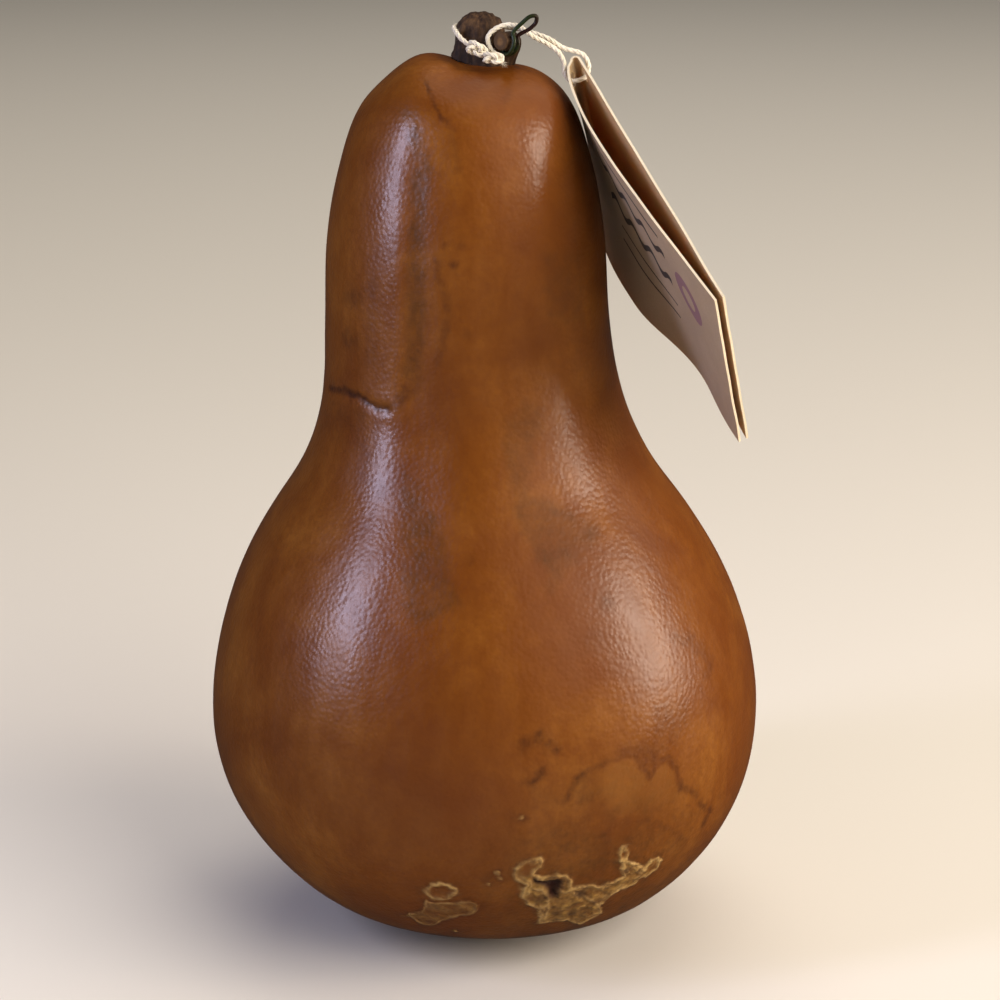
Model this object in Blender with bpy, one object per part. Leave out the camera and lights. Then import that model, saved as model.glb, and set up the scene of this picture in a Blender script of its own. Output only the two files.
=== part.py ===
"""Dried pear gourd with its stem stub, a twist of coated wire, a cotton string and a folded card tag.

Blender 4.5. Metres, +Z up, +X to the right and -Y to the front. The gourd stands upright on a small
flat spot, whose middle is the world origin.
"""

import math

import bmesh
import bpy
from mathutils import Matrix, Vector

MM = 0.001

# The shell, from the rim of the resting flat up to the crown: height and radius in millimetres.
SHELL_STATIONS = [
    (0, 14),
    (2.5, 22.5),
    (9, 40.5),
    (20, 52.5),
    (34, 60.5),
    (50, 63.5),
    (66, 62),
    (82, 57),
    (97, 49),
    (111, 39.5),
    (126, 34),
    (144, 32),
    (162, 31),
    (178, 28),
    (191, 23),
    (196.5, 15),
    (199.5, 0),
]
RINGS_A_STATION = 3
SHELL_SIDES = 56
CROWN_STATIONS = 3  # how many of the stations' gaps the crown takes up

# The shell leans: its middle moves left of the resting flat as it rises.
BELLY_SHIFT = -1.5 * MM
BELLY_SHIFT_HEIGHT = 50 * MM
NECK_SHIFT = -4 * MM
NECK_SHIFT_FROM = 60 * MM
NECK_SHIFT_HEIGHT = 90 * MM
WAIST_SWAY = 0.8 * MM
WAIST_HEIGHT = 115 * MM
WAIST_SPREAD = 22 * MM

# Two low lumps on the crown, either side of the stem: offset from the neck's middle, rise, width.
CROWN_LUMPS = [(-10.3 * MM, 4 * MM, 7.2 * MM), (16.6 * MM, 2 * MM, 10.2 * MM)]
CROWN_LUMP_DEPTH = 18 * MM
CROWN_FROM = 160 * MM
CROWN_HEIGHT = 40 * MM

# A long shallow flute runs down the front left, from the crown to the upper belly.
FLUTE_TURN = math.radians(-107)
FLUTE_WIDTH = math.radians(9)
FLUTE_DEPTH = 0.8 * MM
FLUTE_MIDDLE = 125 * MM
FLUTE_SPREAD = 55 * MM

# The stem stub, seated in the saddle between the lumps.
STEM_MIDDLE = Vector((-2.3, 1.7)) * MM
STEM_SIDES = 24
STEM_TOP = 210.8 * MM
STEM_DEPTH_TO_WIDTH = 0.85
STEM_SEAT_GAP = 0.45 * MM  # the saddle under it is curved, so its facets come closer than this
# Share of the stem's height, radius in millimetres, and how far the ring's middle has moved right.
STEM_RINGS = [
    (0, 7.4, 0.6),
    (0.12, 6.4, 0.2),
    (0.3, 5.7, 0),
    (0.52, 5.5, -0.1),
    (0.7, 5.2, -0.1),
    (0.86, 4.2, 0.1),
    (0.96, 2.4, 0.2),
]
STEM_RIDGES = 5
STEM_RIDGE_DEPTH = 0.05

# A thinner arm forks off the stem's foot on the right and bends forward to a cut end. In millimetres.
ARM_ROUTE = [(1.6, 1.4, 200.4), (3.5, 0.4, 202.6), (4.6, -1.8, 204.4), (4.1, -4.4, 205.0), (2.1, -7.0, 205.1)]
ARM_RADII = [3.9, 2.8, 2.2, 2.1, 2.0]
ARM_SIDES = 18
ARM_STEPS = 3

# Coated wire, hooked twice under the arm behind its cut end and drawn out into one long open loop.
# Each hook is a list of turns round the arm, and how far behind the cut end it lies.
WIRE_DIAMETER = 0.9 * MM
WIRE_HOOK_RADIUS = 2.9 * MM
WIRE_FRONT_HOOK = [(-105, 1.8), (-80, 1.4), (-55, 1.2), (-25, 1.1), (10, 1.3), (40, 1.6)]
WIRE_BACK_HOOK = [(25, 3.0), (-10, 2.8), (-45, 2.8), (-80, 2.9), (-108, 3.1), (-132, 3.2)]
# From the front hook out to the loop's tip and back, in millimetres.
WIRE_LOOP = [
    (7.0, -6.9, 209.2),
    (8.7, -6.9, 210.5),
    (9.9, -6.6, 210.5),
    (9.9, -6.2, 209.2),
    (8.6, -6.2, 207.8),
]

# The string, from its end at the knot round the stem, out through the tag's hole and back, in mm.
STRING_DIAMETER = 1.1 * MM
STRING_ROUTE = [
    (3.6, -8.9, 200.9),
    (1.4, -8.5, 201.4),
    (-1.0, -7.0, 202.3),
    (-3.8, -5.2, 203.6),
    (-6.4, -3.9, 204.9),
    (-8.5, -1.2, 206.2),
    (-8.9, 2.0, 206.9),
    (-7.6, 5.2, 207.0),
    (-4.6, 7.3, 207.0),
    (-0.6, 7.5, 207.0),
    (3.0, 5.9, 207.0),
    (6.2, 2.9, 206.9),
    (9.0, -0.8, 206.4),
    (12.6, -2.4, 205.3),
    (15.9, -2.8, 203.3),
]
# Its turn through the tag's hole: how far in from the tag's corner, and how far off the fold, in mm.
STRING_THROUGH_TAG = [
    (0.4, 2.1),
    (3.1, 2.3),
    (4.9, 0.9),
    (5.1, -1.0),
    (4.6, -2.5),
    (2.6, -3.2),
    (0.4, -2.5),
]
STRING_BACK = [
    (14.9, -3.6, 202.4),
    (12.2, -3.6, 204.4),
    (9.6, -3.8, 205.7),
    (7.9, -4.1, 206.9),
    (6.3, -4.1, 208.0),
    (3.9, -3.9, 208.4),
    (1.3, -4.4, 207.7),
    (-0.5, -4.7, 205.9),
    (-0.1, -5.2, 203.6),
    (1.3, -6.1, 202.1),
    (2.2, -7.3, 201.2),
]

# The folded card tag, placed by one corner, its long edge and its short edge.
TAG_CORNER = Vector((18.2, -3.0, 201.4)) * MM
TAG_ALONG = Vector((0.373, -0.743, -0.556))
TAG_ACROSS = Vector((0.170, 0.644, -0.746))
TAG_LENGTH = 76 * MM
TAG_WIDTH = 51 * MM
TAG_THICKNESS = 0.6 * MM
TAG_FOLD_RADIUS = 0.9 * MM
# The leaf by the gourd bows towards it at its upper and lower edges, and the neck holds it off between.
TAG_BOW_TOP = 4.0 * MM
TAG_BOW_FOOT = 5.0 * MM
TAG_BOW_SKEW = 0.55  # below 1, the bow is deepest towards the fold
# Along its lower edge the whole card swings away from the shell, from this share of its length on.
TAG_SWING = 2.8 * MM
TAG_SWING_START = 0.38
TAG_LEAF_STEPS = 16
TAG_FOLD_STEPS = 6
TAG_WIDTH_STEPS = 8
TAG_HOLE_RADIUS = 1.6 * MM
TAG_HOLE_INSET = 3.2 * MM


def ease(share):
    """Rises smoothly from 0 to 1 as share does."""
    share = min(max(share, 0.0), 1.0)
    return share * share * (3 - 2 * share)


def bell(distance, width):
    return math.exp(-((distance / width) ** 2))


def smooth_through(points, steps):
    """Centripetal Catmull-Rom curve through all points but the first and last, which only guide it."""
    curve = []
    for before, start, end, after in zip(points, points[1:], points[2:], points[3:]):
        t1 = math.sqrt((start - before).length)
        t2 = t1 + math.sqrt((end - start).length)
        t3 = t2 + math.sqrt((after - end).length)
        for step in range(steps):
            t = t1 + (t2 - t1) * step / steps
            a1 = before.lerp(start, t / t1)
            a2 = start.lerp(end, (t - t1) / (t2 - t1))
            a3 = end.lerp(after, (t - t2) / (t3 - t2))
            b1 = a1.lerp(a2, t / t2)
            b2 = a2.lerp(a3, (t - t1) / (t3 - t1))
            curve.append(b1.lerp(b2, (t - t1) / (t2 - t1)))
    curve.append(points[-2].copy())
    return curve


def with_ends(points):
    """Adds a guide point beyond each end, straight on."""
    return [points[0] * 2 - points[1], *points, points[-1] * 2 - points[-2]]


def shell_profile():
    """Radius and height up the shell, from the rim of the resting flat to the crown's middle."""
    stations = [Vector((radius, height)) * MM for height, radius in SHELL_STATIONS]
    under = Vector((0, stations[0].y))
    over = Vector((-stations[-2].x, stations[-2].y))
    return smooth_through([under, *stations, over], RINGS_A_STATION)


def spine(height):
    """How far right of the origin the shell's middle is at this height."""
    shift = BELLY_SHIFT * ease(height / BELLY_SHIFT_HEIGHT)
    shift += NECK_SHIFT * ease((height - NECK_SHIFT_FROM) / NECK_SHIFT_HEIGHT)
    return shift + WAIST_SWAY * bell(height - WAIST_HEIGHT, WAIST_SPREAD)


def crown_rise(x, y, height):
    """The lumps of the crown, added to a height."""
    from_neck = x - BELLY_SHIFT - NECK_SHIFT
    rise = sum(lump * bell(from_neck - offset, width) for offset, lump, width in CROWN_LUMPS)
    return rise * bell(y, CROWN_LUMP_DEPTH) * ease((height - CROWN_FROM) / CROWN_HEIGHT)


def shell_point(radius, height, turn):
    flute = bell(math.remainder(turn - FLUTE_TURN, 2 * math.pi), FLUTE_WIDTH)
    radius -= FLUTE_DEPTH * flute * bell(height - FLUTE_MIDDLE, FLUTE_SPREAD)
    x = spine(height) + radius * math.cos(turn)
    y = radius * math.sin(turn)
    return Vector((x, y, height + crown_rise(x, y, height)))


def crown_height(x, y):
    """Height of the crown's surface over a point of it."""
    reach = math.hypot(x - BELLY_SHIFT - NECK_SHIFT, y)
    crown = shell_profile()[-CROWN_STATIONS * RINGS_A_STATION - 1 :]
    for low, high in zip(crown, crown[1:]):
        if high.x <= reach <= low.x:
            height = low.y + (high.y - low.y) * (low.x - reach) / (low.x - high.x)
            return height + crown_rise(x, y, height)
    raise ValueError("the point is not on the crown")


def paint(name, colour, roughness, metallic=0.0):
    material = bpy.data.materials.new(name)
    material.use_nodes = True
    shader = material.node_tree.nodes["Principled BSDF"]
    shader.inputs["Base Color"].default_value = (*colour, 1)
    shader.inputs["Roughness"].default_value = roughness
    shader.inputs["Metallic"].default_value = metallic
    material.diffuse_color = (*colour, 1)
    return material


def add_object(name, data, material):
    data.materials.append(material)
    piece = bpy.data.objects.new(name, data)
    bpy.context.scene.collection.objects.link(piece)
    return piece


def finish_mesh(name, bm, material, smooth=True):
    bmesh.ops.recalc_face_normals(bm, faces=bm.faces)
    mesh = bpy.data.meshes.new(name)
    bm.to_mesh(mesh)
    bm.free()
    if smooth:
        mesh.shade_smooth()
    return add_object(name, mesh, material)


def skin_rings(bm, rings):
    """Joins each ring of vertices to the next with quads."""
    for low, high in zip(rings, rings[1:]):
        for i in range(len(low)):
            j = (i + 1) % len(low)
            bm.faces.new((low[i], low[j], high[j], high[i]))


def cap_ring(bm, ring, middle):
    for i in range(len(ring)):
        bm.faces.new((ring[i], ring[(i + 1) % len(ring)], middle))


def use_as_tool(piece, tool, name, operation):
    """Joins the tool to the piece, or cuts it away, and keeps the tool itself out of the render."""
    tool.hide_render = True
    tool.display_type = "WIRE"
    modifier = piece.modifiers.new(name, "BOOLEAN")
    modifier.operation = operation
    modifier.solver = "EXACT"
    modifier.object = tool


def build_gourd():
    """The shell: one closed body on a flat spot, with a crown of two lumps and a shallow flute."""
    bm = bmesh.new()
    rings = []
    profile = shell_profile()
    for station in profile[:-1]:
        ring = []
        for i in range(SHELL_SIDES):
            turn = 2 * math.pi * i / SHELL_SIDES
            ring.append(bm.verts.new(shell_point(station.x, station.y, turn)))
        rings.append(ring)
    skin_rings(bm, rings)
    cap_ring(bm, rings[0], bm.verts.new((0, 0, 0)))
    cap_ring(bm, rings[-1], bm.verts.new(shell_point(0, profile[-1].y, 0)))
    return finish_mesh("gourd", bm, paint("gourd_shell", (0.22, 0.062, 0.012), 0.42))


def stem_foot(x, y):
    return Vector((x, y, crown_height(x, y) + STEM_SEAT_GAP))


def build_stem():
    """A rough cut stem, five-ridged and flared at its foot, with an arm that bends forward."""
    bark = paint("dry_stem", (0.065, 0.034, 0.014), 0.8)
    bm = bmesh.new()
    rings = []
    for share, radius, shift in STEM_RINGS:
        ring = []
        for i in range(STEM_SIDES):
            turn = 2 * math.pi * i / STEM_SIDES
            reach = radius * MM * (1 + STEM_RIDGE_DEPTH * math.cos(STEM_RIDGES * turn))
            x = STEM_MIDDLE.x + shift * MM + reach * math.cos(turn)
            y = STEM_MIDDLE.y + reach * STEM_DEPTH_TO_WIDTH * math.sin(turn)
            foot = stem_foot(x, y)
            foot.z += (STEM_TOP - foot.z) * share
            ring.append(bm.verts.new(foot))
        rings.append(ring)
    skin_rings(bm, rings)
    foot_middle = stem_foot(STEM_MIDDLE.x + STEM_RINGS[0][2] * MM, STEM_MIDDLE.y)
    inner = []
    for vert in rings[0]:
        halfway = (vert.co + foot_middle) / 2
        inner.append(bm.verts.new(stem_foot(halfway.x, halfway.y)))
    skin_rings(bm, [rings[0], inner])
    cap_ring(bm, inner, bm.verts.new(foot_middle))
    top_x = STEM_MIDDLE.x + STEM_RINGS[-1][2] * MM
    cap_ring(bm, rings[-1], bm.verts.new((top_x, STEM_MIDDLE.y, STEM_TOP)))
    stem = finish_mesh("stem", bm, bark)
    use_as_tool(stem, build_arm(bark), "arm", "UNION")
    return stem


def build_arm(bark):
    """The arm's own shape: a bent rod, thick at its root, that the stem is joined with."""
    route = [Vector(point) * MM for point in ARM_ROUTE]
    middles = smooth_through(with_ends(route), ARM_STEPS)
    bm = bmesh.new()
    rings = []
    for i, middle in enumerate(middles):
        along = middles[min(i + 1, len(middles) - 1)] - middles[max(i - 1, 0)]
        side = along.cross(Vector((0, 0, 1))).normalized()
        rise = side.cross(along).normalized()
        whole, part = divmod(i, ARM_STEPS)
        radius = ARM_RADII[whole]
        if part:
            radius += (ARM_RADII[whole + 1] - radius) * part / ARM_STEPS
        ring = []
        for k in range(ARM_SIDES):
            turn = 2 * math.pi * k / ARM_SIDES
            offset = (side * math.cos(turn) + rise * math.sin(turn)) * (radius * MM)
            point = middle + offset
            if i < 2 * ARM_STEPS:
                point.z = max(point.z, stem_foot(point.x, point.y).z)
            ring.append(bm.verts.new(point))
        rings.append(ring)
    skin_rings(bm, rings)
    cap_ring(bm, rings[0], bm.verts.new(middles[0]))
    cap_ring(bm, rings[-1], bm.verts.new(middles[-1]))
    return finish_mesh("arm_shape", bm, bark)


def build_cord(name, route, diameter, spacing, material):
    """A round cord along a smooth curve through the route, with points so many diameters apart."""
    fine = smooth_through(with_ends(route), 24)
    length = sum((b - a).length for a, b in zip(fine, fine[1:]))
    count = round(length / (spacing * diameter))
    points = [fine[0]]
    walked = 0.0
    for a, b in zip(fine, fine[1:]):
        walked += (b - a).length
        if walked >= length * len(points) / count and len(points) < count:
            points.append(b)
    points.append(fine[-1])
    data = bpy.data.curves.new(name, "CURVE")
    data.dimensions = "3D"
    data.bevel_depth = diameter / 2
    data.bevel_resolution = 2
    data.use_fill_caps = True
    spline = data.splines.new("POLY")
    spline.points.add(len(points) - 1)
    for target, point in zip(spline.points, points):
        target.co = (*point, 1)
    return add_object(name, data, material)


def build_wire_tie():
    """Wire hooked under the arm, out to one long loop, and back to a second hook beside the first."""
    tip = Vector(ARM_ROUTE[-1]) * MM
    axis = (tip - Vector(ARM_ROUTE[-2]) * MM).normalized()
    right = Vector((0, 0, 1)).cross(axis).normalized()
    up = axis.cross(right)

    def hook(turns):
        points = []
        for degrees, back in turns:
            turn = math.radians(degrees)
            reach = (right * math.cos(turn) + up * math.sin(turn)) * WIRE_HOOK_RADIUS
            points.append(tip - axis * (back * MM) + reach)
        return points

    route = hook(WIRE_FRONT_HOOK) + [Vector(point) * MM for point in WIRE_LOOP] + hook(WIRE_BACK_HOOK)
    coating = paint("coated_wire", (0.02, 0.03, 0.012), 0.35)
    return build_cord("wire_tie", route, WIRE_DIAMETER, 1.2, coating)


def build_string():
    """One strand: knotted at the front, round the stem, through the tag's hole and back to the arm."""
    inwards = (TAG_ALONG + TAG_ACROSS).normalized()
    out = TAG_ALONG.cross(TAG_ACROSS).normalized()
    route = [Vector(point) * MM for point in STRING_ROUTE]
    route += [TAG_CORNER + (inwards * depth + out * lift) * MM for depth, lift in STRING_THROUGH_TAG]
    route += [Vector(point) * MM for point in STRING_BACK]
    cotton = paint("cotton_string", (0.72, 0.66, 0.54), 0.9)
    return build_cord("string", route, STRING_DIAMETER, 2.1, cotton)


def tag_point(share, side, across):
    """A point of the folded card: share of the length from the fold, side -1 by the gourd or 1 away."""
    out = TAG_ALONG.cross(TAG_ACROSS).normalized()
    lift = TAG_FOLD_RADIUS * math.sin(side * math.pi / 2)
    if share > 0:
        reach = TAG_FOLD_RADIUS + (TAG_LENGTH - TAG_FOLD_RADIUS) * share
    else:
        reach = TAG_FOLD_RADIUS * (1 - math.cos(side * math.pi / 2))
    if side < 0:
        bow = TAG_BOW_TOP * (1 - across) ** 2 + TAG_BOW_FOOT * across**3
        lift -= bow * math.sin(math.pi * share**TAG_BOW_SKEW)
    swing = ease((share - TAG_SWING_START) / (1 - TAG_SWING_START))
    lift += TAG_SWING * across**2 * math.sin(math.pi * swing)
    return TAG_CORNER + TAG_ALONG * reach + TAG_ACROSS * (TAG_WIDTH * across) + out * lift


def build_tag():
    """One strip of card folded on its short side; the leaf by the gourd bows towards it."""
    strip = [(i / TAG_LEAF_STEPS, -1) for i in range(TAG_LEAF_STEPS, 0, -1)]
    strip += [(0, 2 * i / TAG_FOLD_STEPS - 1) for i in range(TAG_FOLD_STEPS + 1)]
    strip += [(i / TAG_LEAF_STEPS, 1) for i in range(1, TAG_LEAF_STEPS + 1)]
    bm = bmesh.new()
    rows = []
    for share, side in strip:
        row = []
        for j in range(TAG_WIDTH_STEPS + 1):
            row.append(bm.verts.new(tag_point(share, side, j / TAG_WIDTH_STEPS)))
        rows.append(row)
    for low, high in zip(rows, rows[1:]):
        for j in range(TAG_WIDTH_STEPS):
            bm.faces.new((low[j], low[j + 1], high[j + 1], high[j]))
    tag = finish_mesh("tag", bm, paint("tag_card", (0.55, 0.45, 0.33), 0.85))
    thick = tag.modifiers.new("card_thickness", "SOLIDIFY")
    thick.thickness = TAG_THICKNESS
    thick.offset = 0
    use_as_tool(tag, build_punch(tag.data.materials[0]), "string_hole", "DIFFERENCE")
    return tag


def build_punch(material):
    out = TAG_ALONG.cross(TAG_ACROSS).normalized()
    hole = TAG_CORNER + (TAG_ALONG + TAG_ACROSS) * TAG_HOLE_INSET
    bm = bmesh.new()
    bmesh.ops.create_cone(
        bm,
        cap_ends=True,
        segments=16,
        radius1=TAG_HOLE_RADIUS,
        radius2=TAG_HOLE_RADIUS,
        depth=20 * MM,
        matrix=Matrix.Translation(hole) @ out.to_track_quat("Z", "Y").to_matrix().to_4x4(),
    )
    return finish_mesh("tag_punch", bm, material, smooth=False)


def main():
    for old in list(bpy.data.objects):
        bpy.data.objects.remove(old)
    build_gourd()
    build_stem()
    build_wire_tie()
    build_string()
    build_tag()


main()
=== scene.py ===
"""Looks of a dried pear gourd with its stem stub, a wire tie, a cotton string and a folded card tag.

Blender 4.5, laid out as an add-on and run as a script. Metres, +Z up, +X to the right and -Y to the
front. The gourd stands on its small flat spot, whose middle is the world origin.
"""

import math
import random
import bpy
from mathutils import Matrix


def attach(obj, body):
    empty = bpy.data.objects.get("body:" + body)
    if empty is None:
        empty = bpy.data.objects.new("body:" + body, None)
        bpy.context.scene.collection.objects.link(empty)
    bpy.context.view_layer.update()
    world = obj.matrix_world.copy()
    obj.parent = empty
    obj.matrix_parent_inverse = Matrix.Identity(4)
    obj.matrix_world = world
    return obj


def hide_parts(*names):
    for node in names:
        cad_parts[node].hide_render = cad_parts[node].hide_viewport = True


bl_info = {
    "name": "Dried Pear Gourd",
    "version": (1, 0, 0),
    "blender": (4, 5, 0),
    "location": "3D View > Sidebar > Gourd",
    "description": "A rubbed, dried pear gourd with its stem, string, wire tie and card tag",
    "category": "Object",
}

import bmesh
import bpy
import numpy as np
from bpy.props import FloatProperty, FloatVectorProperty, PointerProperty
from mathutils import Matrix, Vector, noise

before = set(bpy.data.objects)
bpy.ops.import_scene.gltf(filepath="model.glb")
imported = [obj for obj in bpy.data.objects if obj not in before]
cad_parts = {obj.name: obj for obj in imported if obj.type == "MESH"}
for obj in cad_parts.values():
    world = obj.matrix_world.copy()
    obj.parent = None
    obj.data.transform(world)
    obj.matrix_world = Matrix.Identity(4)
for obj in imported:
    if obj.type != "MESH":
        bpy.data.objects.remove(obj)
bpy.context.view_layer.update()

MM = 0.001
WELD = 2e-6

# Marks on the rind, in front view.

# Each point is (x, z) in millimetres, as seen square on from the front. They lie on the front half.

# The large corky scar low on the right, its outline, its deep split and a second shallow hollow.
LARGE_SCAR = [
    (4.9, 31.6), (5.2, 34.7), (6.6, 36.3), (8.7, 36.9), (10.7, 37.4), (11.6, 36.6), (10.9, 34.5),
    (9.4, 33.1), (11.6, 31.9), (14.0, 32.4), (16.4, 31.8), (17.5, 30.1), (18.0, 27.9), (21.3, 27.9),
    (24.0, 26.9), (26.6, 27.3), (28.9, 28.0), (28.5, 31.5), (27.8, 35.2), (28.3, 36.9), (29.7, 37.1),
    (30.2, 35.1), (29.8, 32.9), (32.3, 31.1), (34.0, 28.6), (35.1, 30.9), (36.9, 31.0), (37.7, 29.4),
    (36.9, 27.1), (34.9, 25.8), (33.0, 25.6), (31.5, 23.9), (28.6, 23.8), (26.4, 22.4), (24.5, 19.8),
    (24.8, 16.2), (22.6, 14.8), (20.0, 13.1), (16.7, 15.9), (13.2, 16.4), (10.1, 16.1), (10.9, 18.9),
    (10.2, 21.9), (8.0, 23.6), (6.7, 26.0), (7.1, 28.5), (7.5, 29.9), (6.2, 31.2),
]
SCAR_SPLIT = [
    (9.4, 31.2), (12.0, 30.3), (14.2, 30.6), (15.5, 29.6), (14.9, 27.8), (14.3, 25.4), (13.0, 25.9),
    (12.3, 28.3), (10.3, 29.7),
]
SCAR_HOLLOW = [(18.5, 26.2), (20.9, 25.3), (20.5, 22.9), (18.7, 24.2)]
# Raised seams inside the large scar.
SCAR_SEAMS = [
    [(9.2, 33.0), (10.7, 31.1), (14.3, 27.6), (16.5, 26.3), (18.0, 27.6)],
    [(7.5, 27.2), (9.0, 28.9), (11.2, 28.1), (12.5, 26.0), (12.6, 23.3), (10.8, 22.2), (8.6, 23.9)],
    [(12.6, 23.3), (12.2, 19.5), (11.0, 17.0)],
    [(18.0, 25.6), (22.6, 22.2), (24.3, 19.8)],
]
# The small scar low on the left: a raised ring, and a thin crust spreading below it.
SCAR_RING = [
    (-14.6, 27.4), (-13.0, 30.0), (-11.1, 30.7), (-8.7, 30.2), (-7.1, 29.0), (-7.2, 27.5),
    (-8.8, 25.7), (-11.2, 24.9), (-13.1, 25.5),
]
SMALL_SCAR = [
    (-14.2, 24.7), (-12.1, 24.1), (-8.8, 24.5), (-6.6, 24.7), (-4.4, 25.4), (-2.9, 24.2), (-2.7, 22.5),
    (-3.9, 20.7), (-6.7, 19.9), (-8.9, 18.8), (-10.6, 17.4), (-12.3, 15.4), (-15.1, 14.7),
    (-16.5, 16.1), (-17.8, 17.8), (-19.9, 17.4), (-18.0, 19.1), (-15.5, 20.4), (-14.4, 22.4),
]
# Loops of the scars whose insides are hardly crusted: x, z and radius.
SCAR_LOOPS = [(7.9, 34.6, 2.2), (29.3, 34.4, 1.3), (35.3, 29.0, 1.7), (-10.9, 27.9, 2.4)]
# Specks of the same crust: x, z and radius.
SCAR_SPECKS = [(1.5, 33.7, 0.6), (1.9, 32.3, 0.5), (6.5, 47.3, 0.45), (-7.9, 13.4, 0.6), (-0.5, 30.6, 0.35)]

# A tide mark where damp once dried: its two lines, and the paler rind inside it.
TIDE_LINE = [
    (16.1, 50.8), (17.4, 53.6), (19.1, 56.1), (23.4, 57.6), (27.8, 58.6), (31.1, 58.8), (32.2, 55.9),
    (34.5, 52.6), (35.8, 55.0), (38.5, 56.0), (40.6, 52.3), (41.4, 48.0), (44.3, 45.6), (46.3, 41.2),
    (49.2, 38.0), (47.1, 35.0),
]
LOW_TIDE_LINE = [(23.6, 41.2), (26.2, 42.4), (29.1, 43.7), (34.7, 42.1), (39.4, 37.8), (42.5, 33.5)]
DRIED_DAMP = [
    (23.5, 56.4), (27.8, 57.8), (30.6, 57.8), (31.6, 54.9), (34.5, 51.8), (36.4, 54.4), (38.3, 54.8),
    (40.2, 51.0), (41.0, 47.4), (44.0, 44.6), (45.5, 41.2), (41.5, 40.5), (39.0, 38.5), (34.7, 42.8),
    (29.1, 44.4), (25.8, 45.5), (24.6, 49.0),
]

# Stains. Each spot is x, z, radius and strength.
SPOTS = [
    (7.4, 63.6, 1.4, 0.6), (10.6, 65.3, 1.4, 0.6), (12.0, 63.5, 1.3, 0.55), (14.2, 62.0, 1.2, 0.6),
    (8.7, 55.4, 1.4, 0.6), (10.7, 57.0, 1.3, 0.6), (25.0, 90.0, 1.9, 0.32), (-4.3, 99.9, 1.1, 0.2),
    (21.3, 83.4, 2.6, 0.1), (-29.8, 151.2, 2.2, 0.3), (-29.8, 150.8, 1.0, 0.4), (-30.7, 141.8, 2.2, 0.35),
    (-7.9, 160.2, 0.9, 0.5), (-9.6, 165.0, 0.8, 0.35), (-6.0, 164.6, 0.8, 0.3), (-5.0, 145.6, 1.2, 0.3),
    (-32.0, 124.0, 2.2, 0.25), (-28.5, 125.8, 1.8, 0.25), (-17.2, 132.7, 1.8, 0.35),
    (-12.0, 93.8, 1.6, 0.12),
]
# Each line is half its width, its strength and its points.
LINES = [
    (0.75, 0.9, [
        (-35.5, 129.1), (-32.0, 130.2), (-29.2, 130.1), (-26.7, 129.2), (-24.6, 128.3), (-22.4, 128.4),
    ]),
    (1.0, 0.45, [(-24.6, 128.3), (-22.4, 128.4), (-20.6, 129.5), (-18.0, 133.0)]),
    (0.5, 0.55, [(-13.8, 197.3), (-12.2, 193.9), (-10.4, 190.7), (-9.2, 189.9)]),
    (0.8, 0.25, [(-9.2, 189.9), (-7.9, 187.8), (-7.4, 184.3), (-7.0, 180.3)]),
    (0.6, 0.2, [(4.0, 196.0), (3.4, 193.4)]),
    (0.8, 0.35, [
        (-11.1, 161.1), (-11.1, 157.2), (-9.4, 153.7), (-9.0, 150.3), (-10.1, 144.4), (-11.2, 139.3),
    ]),
    (1.1, 0.22, [(-25.7, 155.0), (-25.8, 147.3), (-25.9, 138.0)]),
    (1.0, 0.3, [(40.2, 80.1), (44.1, 78.3), (46.5, 75.1), (48.4, 72.4), (47.6, 70.1)]),
    (0.6, 0.55, TIDE_LINE),
    (0.7, 0.2, LOW_TIDE_LINE),
]
# Each dark patch is its strength and outline; so is each dull olive patch, after the dark ones. The last dull
# patch is painted shade down the neck's groove.
DARK_PATCHES = [
    (0.22, [(34.4, 68.2), (42.3, 67.0), (43.5, 61.4), (40.1, 58.1), (35.5, 60.6)]),
    (0.4, [
        (23.0, 57.5), (27.0, 60.6), (32.0, 61.4), (38.5, 58.0), (37.0, 55.6), (34.3, 52.9), (31.4, 58.6),
    ]),
    (0.12, [(-36, 128), (-30, 127), (-24, 126), (-24, 119), (-31, 117), (-38, 120)]),
]
# Round the large scar the rind is painted duller and darker, partly as shade: x, z, where that starts to fade
# and ends, and strength.
DULLED_AND_SHADED_ROUND_SCAR = (23, 26, 8, 38, 0.5)
DULL_AND_SHADED_PATCHES = [
    (0.42, [
        (-19.1, 116.1), (-15.6, 114.4), (-14.0, 110.5), (-10.8, 107.0), (-9.2, 102.5), (-7.2, 94.3),
        (-6.4, 91.5), (-9.6, 90.0), (-12.7, 87.9), (-15.9, 86.2), (-18.3, 89.8), (-19.3, 97.2),
        (-19.8, 104.5),
    ]),
    (0.36, [
        (4.7, 116.8), (8.6, 111.6), (12.9, 110.3), (19.4, 106.7), (23.8, 103.8), (22.6, 100.8),
        (18.2, 97.8), (14.9, 95.4), (13.2, 92.8), (11.7, 93.8), (12.8, 96.5), (9.6, 99.5), (8.5, 102.3),
        (6.4, 104.3), (4.7, 108.1),
    ]),
    (0.26, [
        (2.1, 127.2), (5.3, 128.1), (8.6, 124.7), (9.7, 118.4), (8.6, 111.6), (4.7, 111.9), (2.7, 118.9),
    ]),
    (0.3, [(5.8, 131.2), (10.7, 129.7), (11.8, 124.3), (9.7, 121.5), (6.4, 122.8)]),
    (0.25, [(10.7, 162.9), (20.1, 161.3), (20.2, 145.5), (11.8, 147.1)]),
    (0.35, [
        (16.3, 53.0), (18.0, 55.6), (21.3, 56.8), (24.5, 56.4), (23.3, 49.6), (20.3, 48.0), (17.5, 49.4),
    ]),
    # A band down the left of the neck, along its groove, painted as shade.
    (0.5, [
        (-19.6, 192.0), (-17.0, 183.0), (-17.6, 163.0), (-18.3, 150.0), (-18.9, 136.0), (-14.6, 134.0),
        (-13.6, 150.0), (-13.4, 166.0), (-12.4, 180.0), (-15.5, 192.0),
    ]),
]
# The crease across the left of the neck, sunk into the rind.
CREASE = LINES[0][2]
CREASE_DEPTH = 0.4

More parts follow.
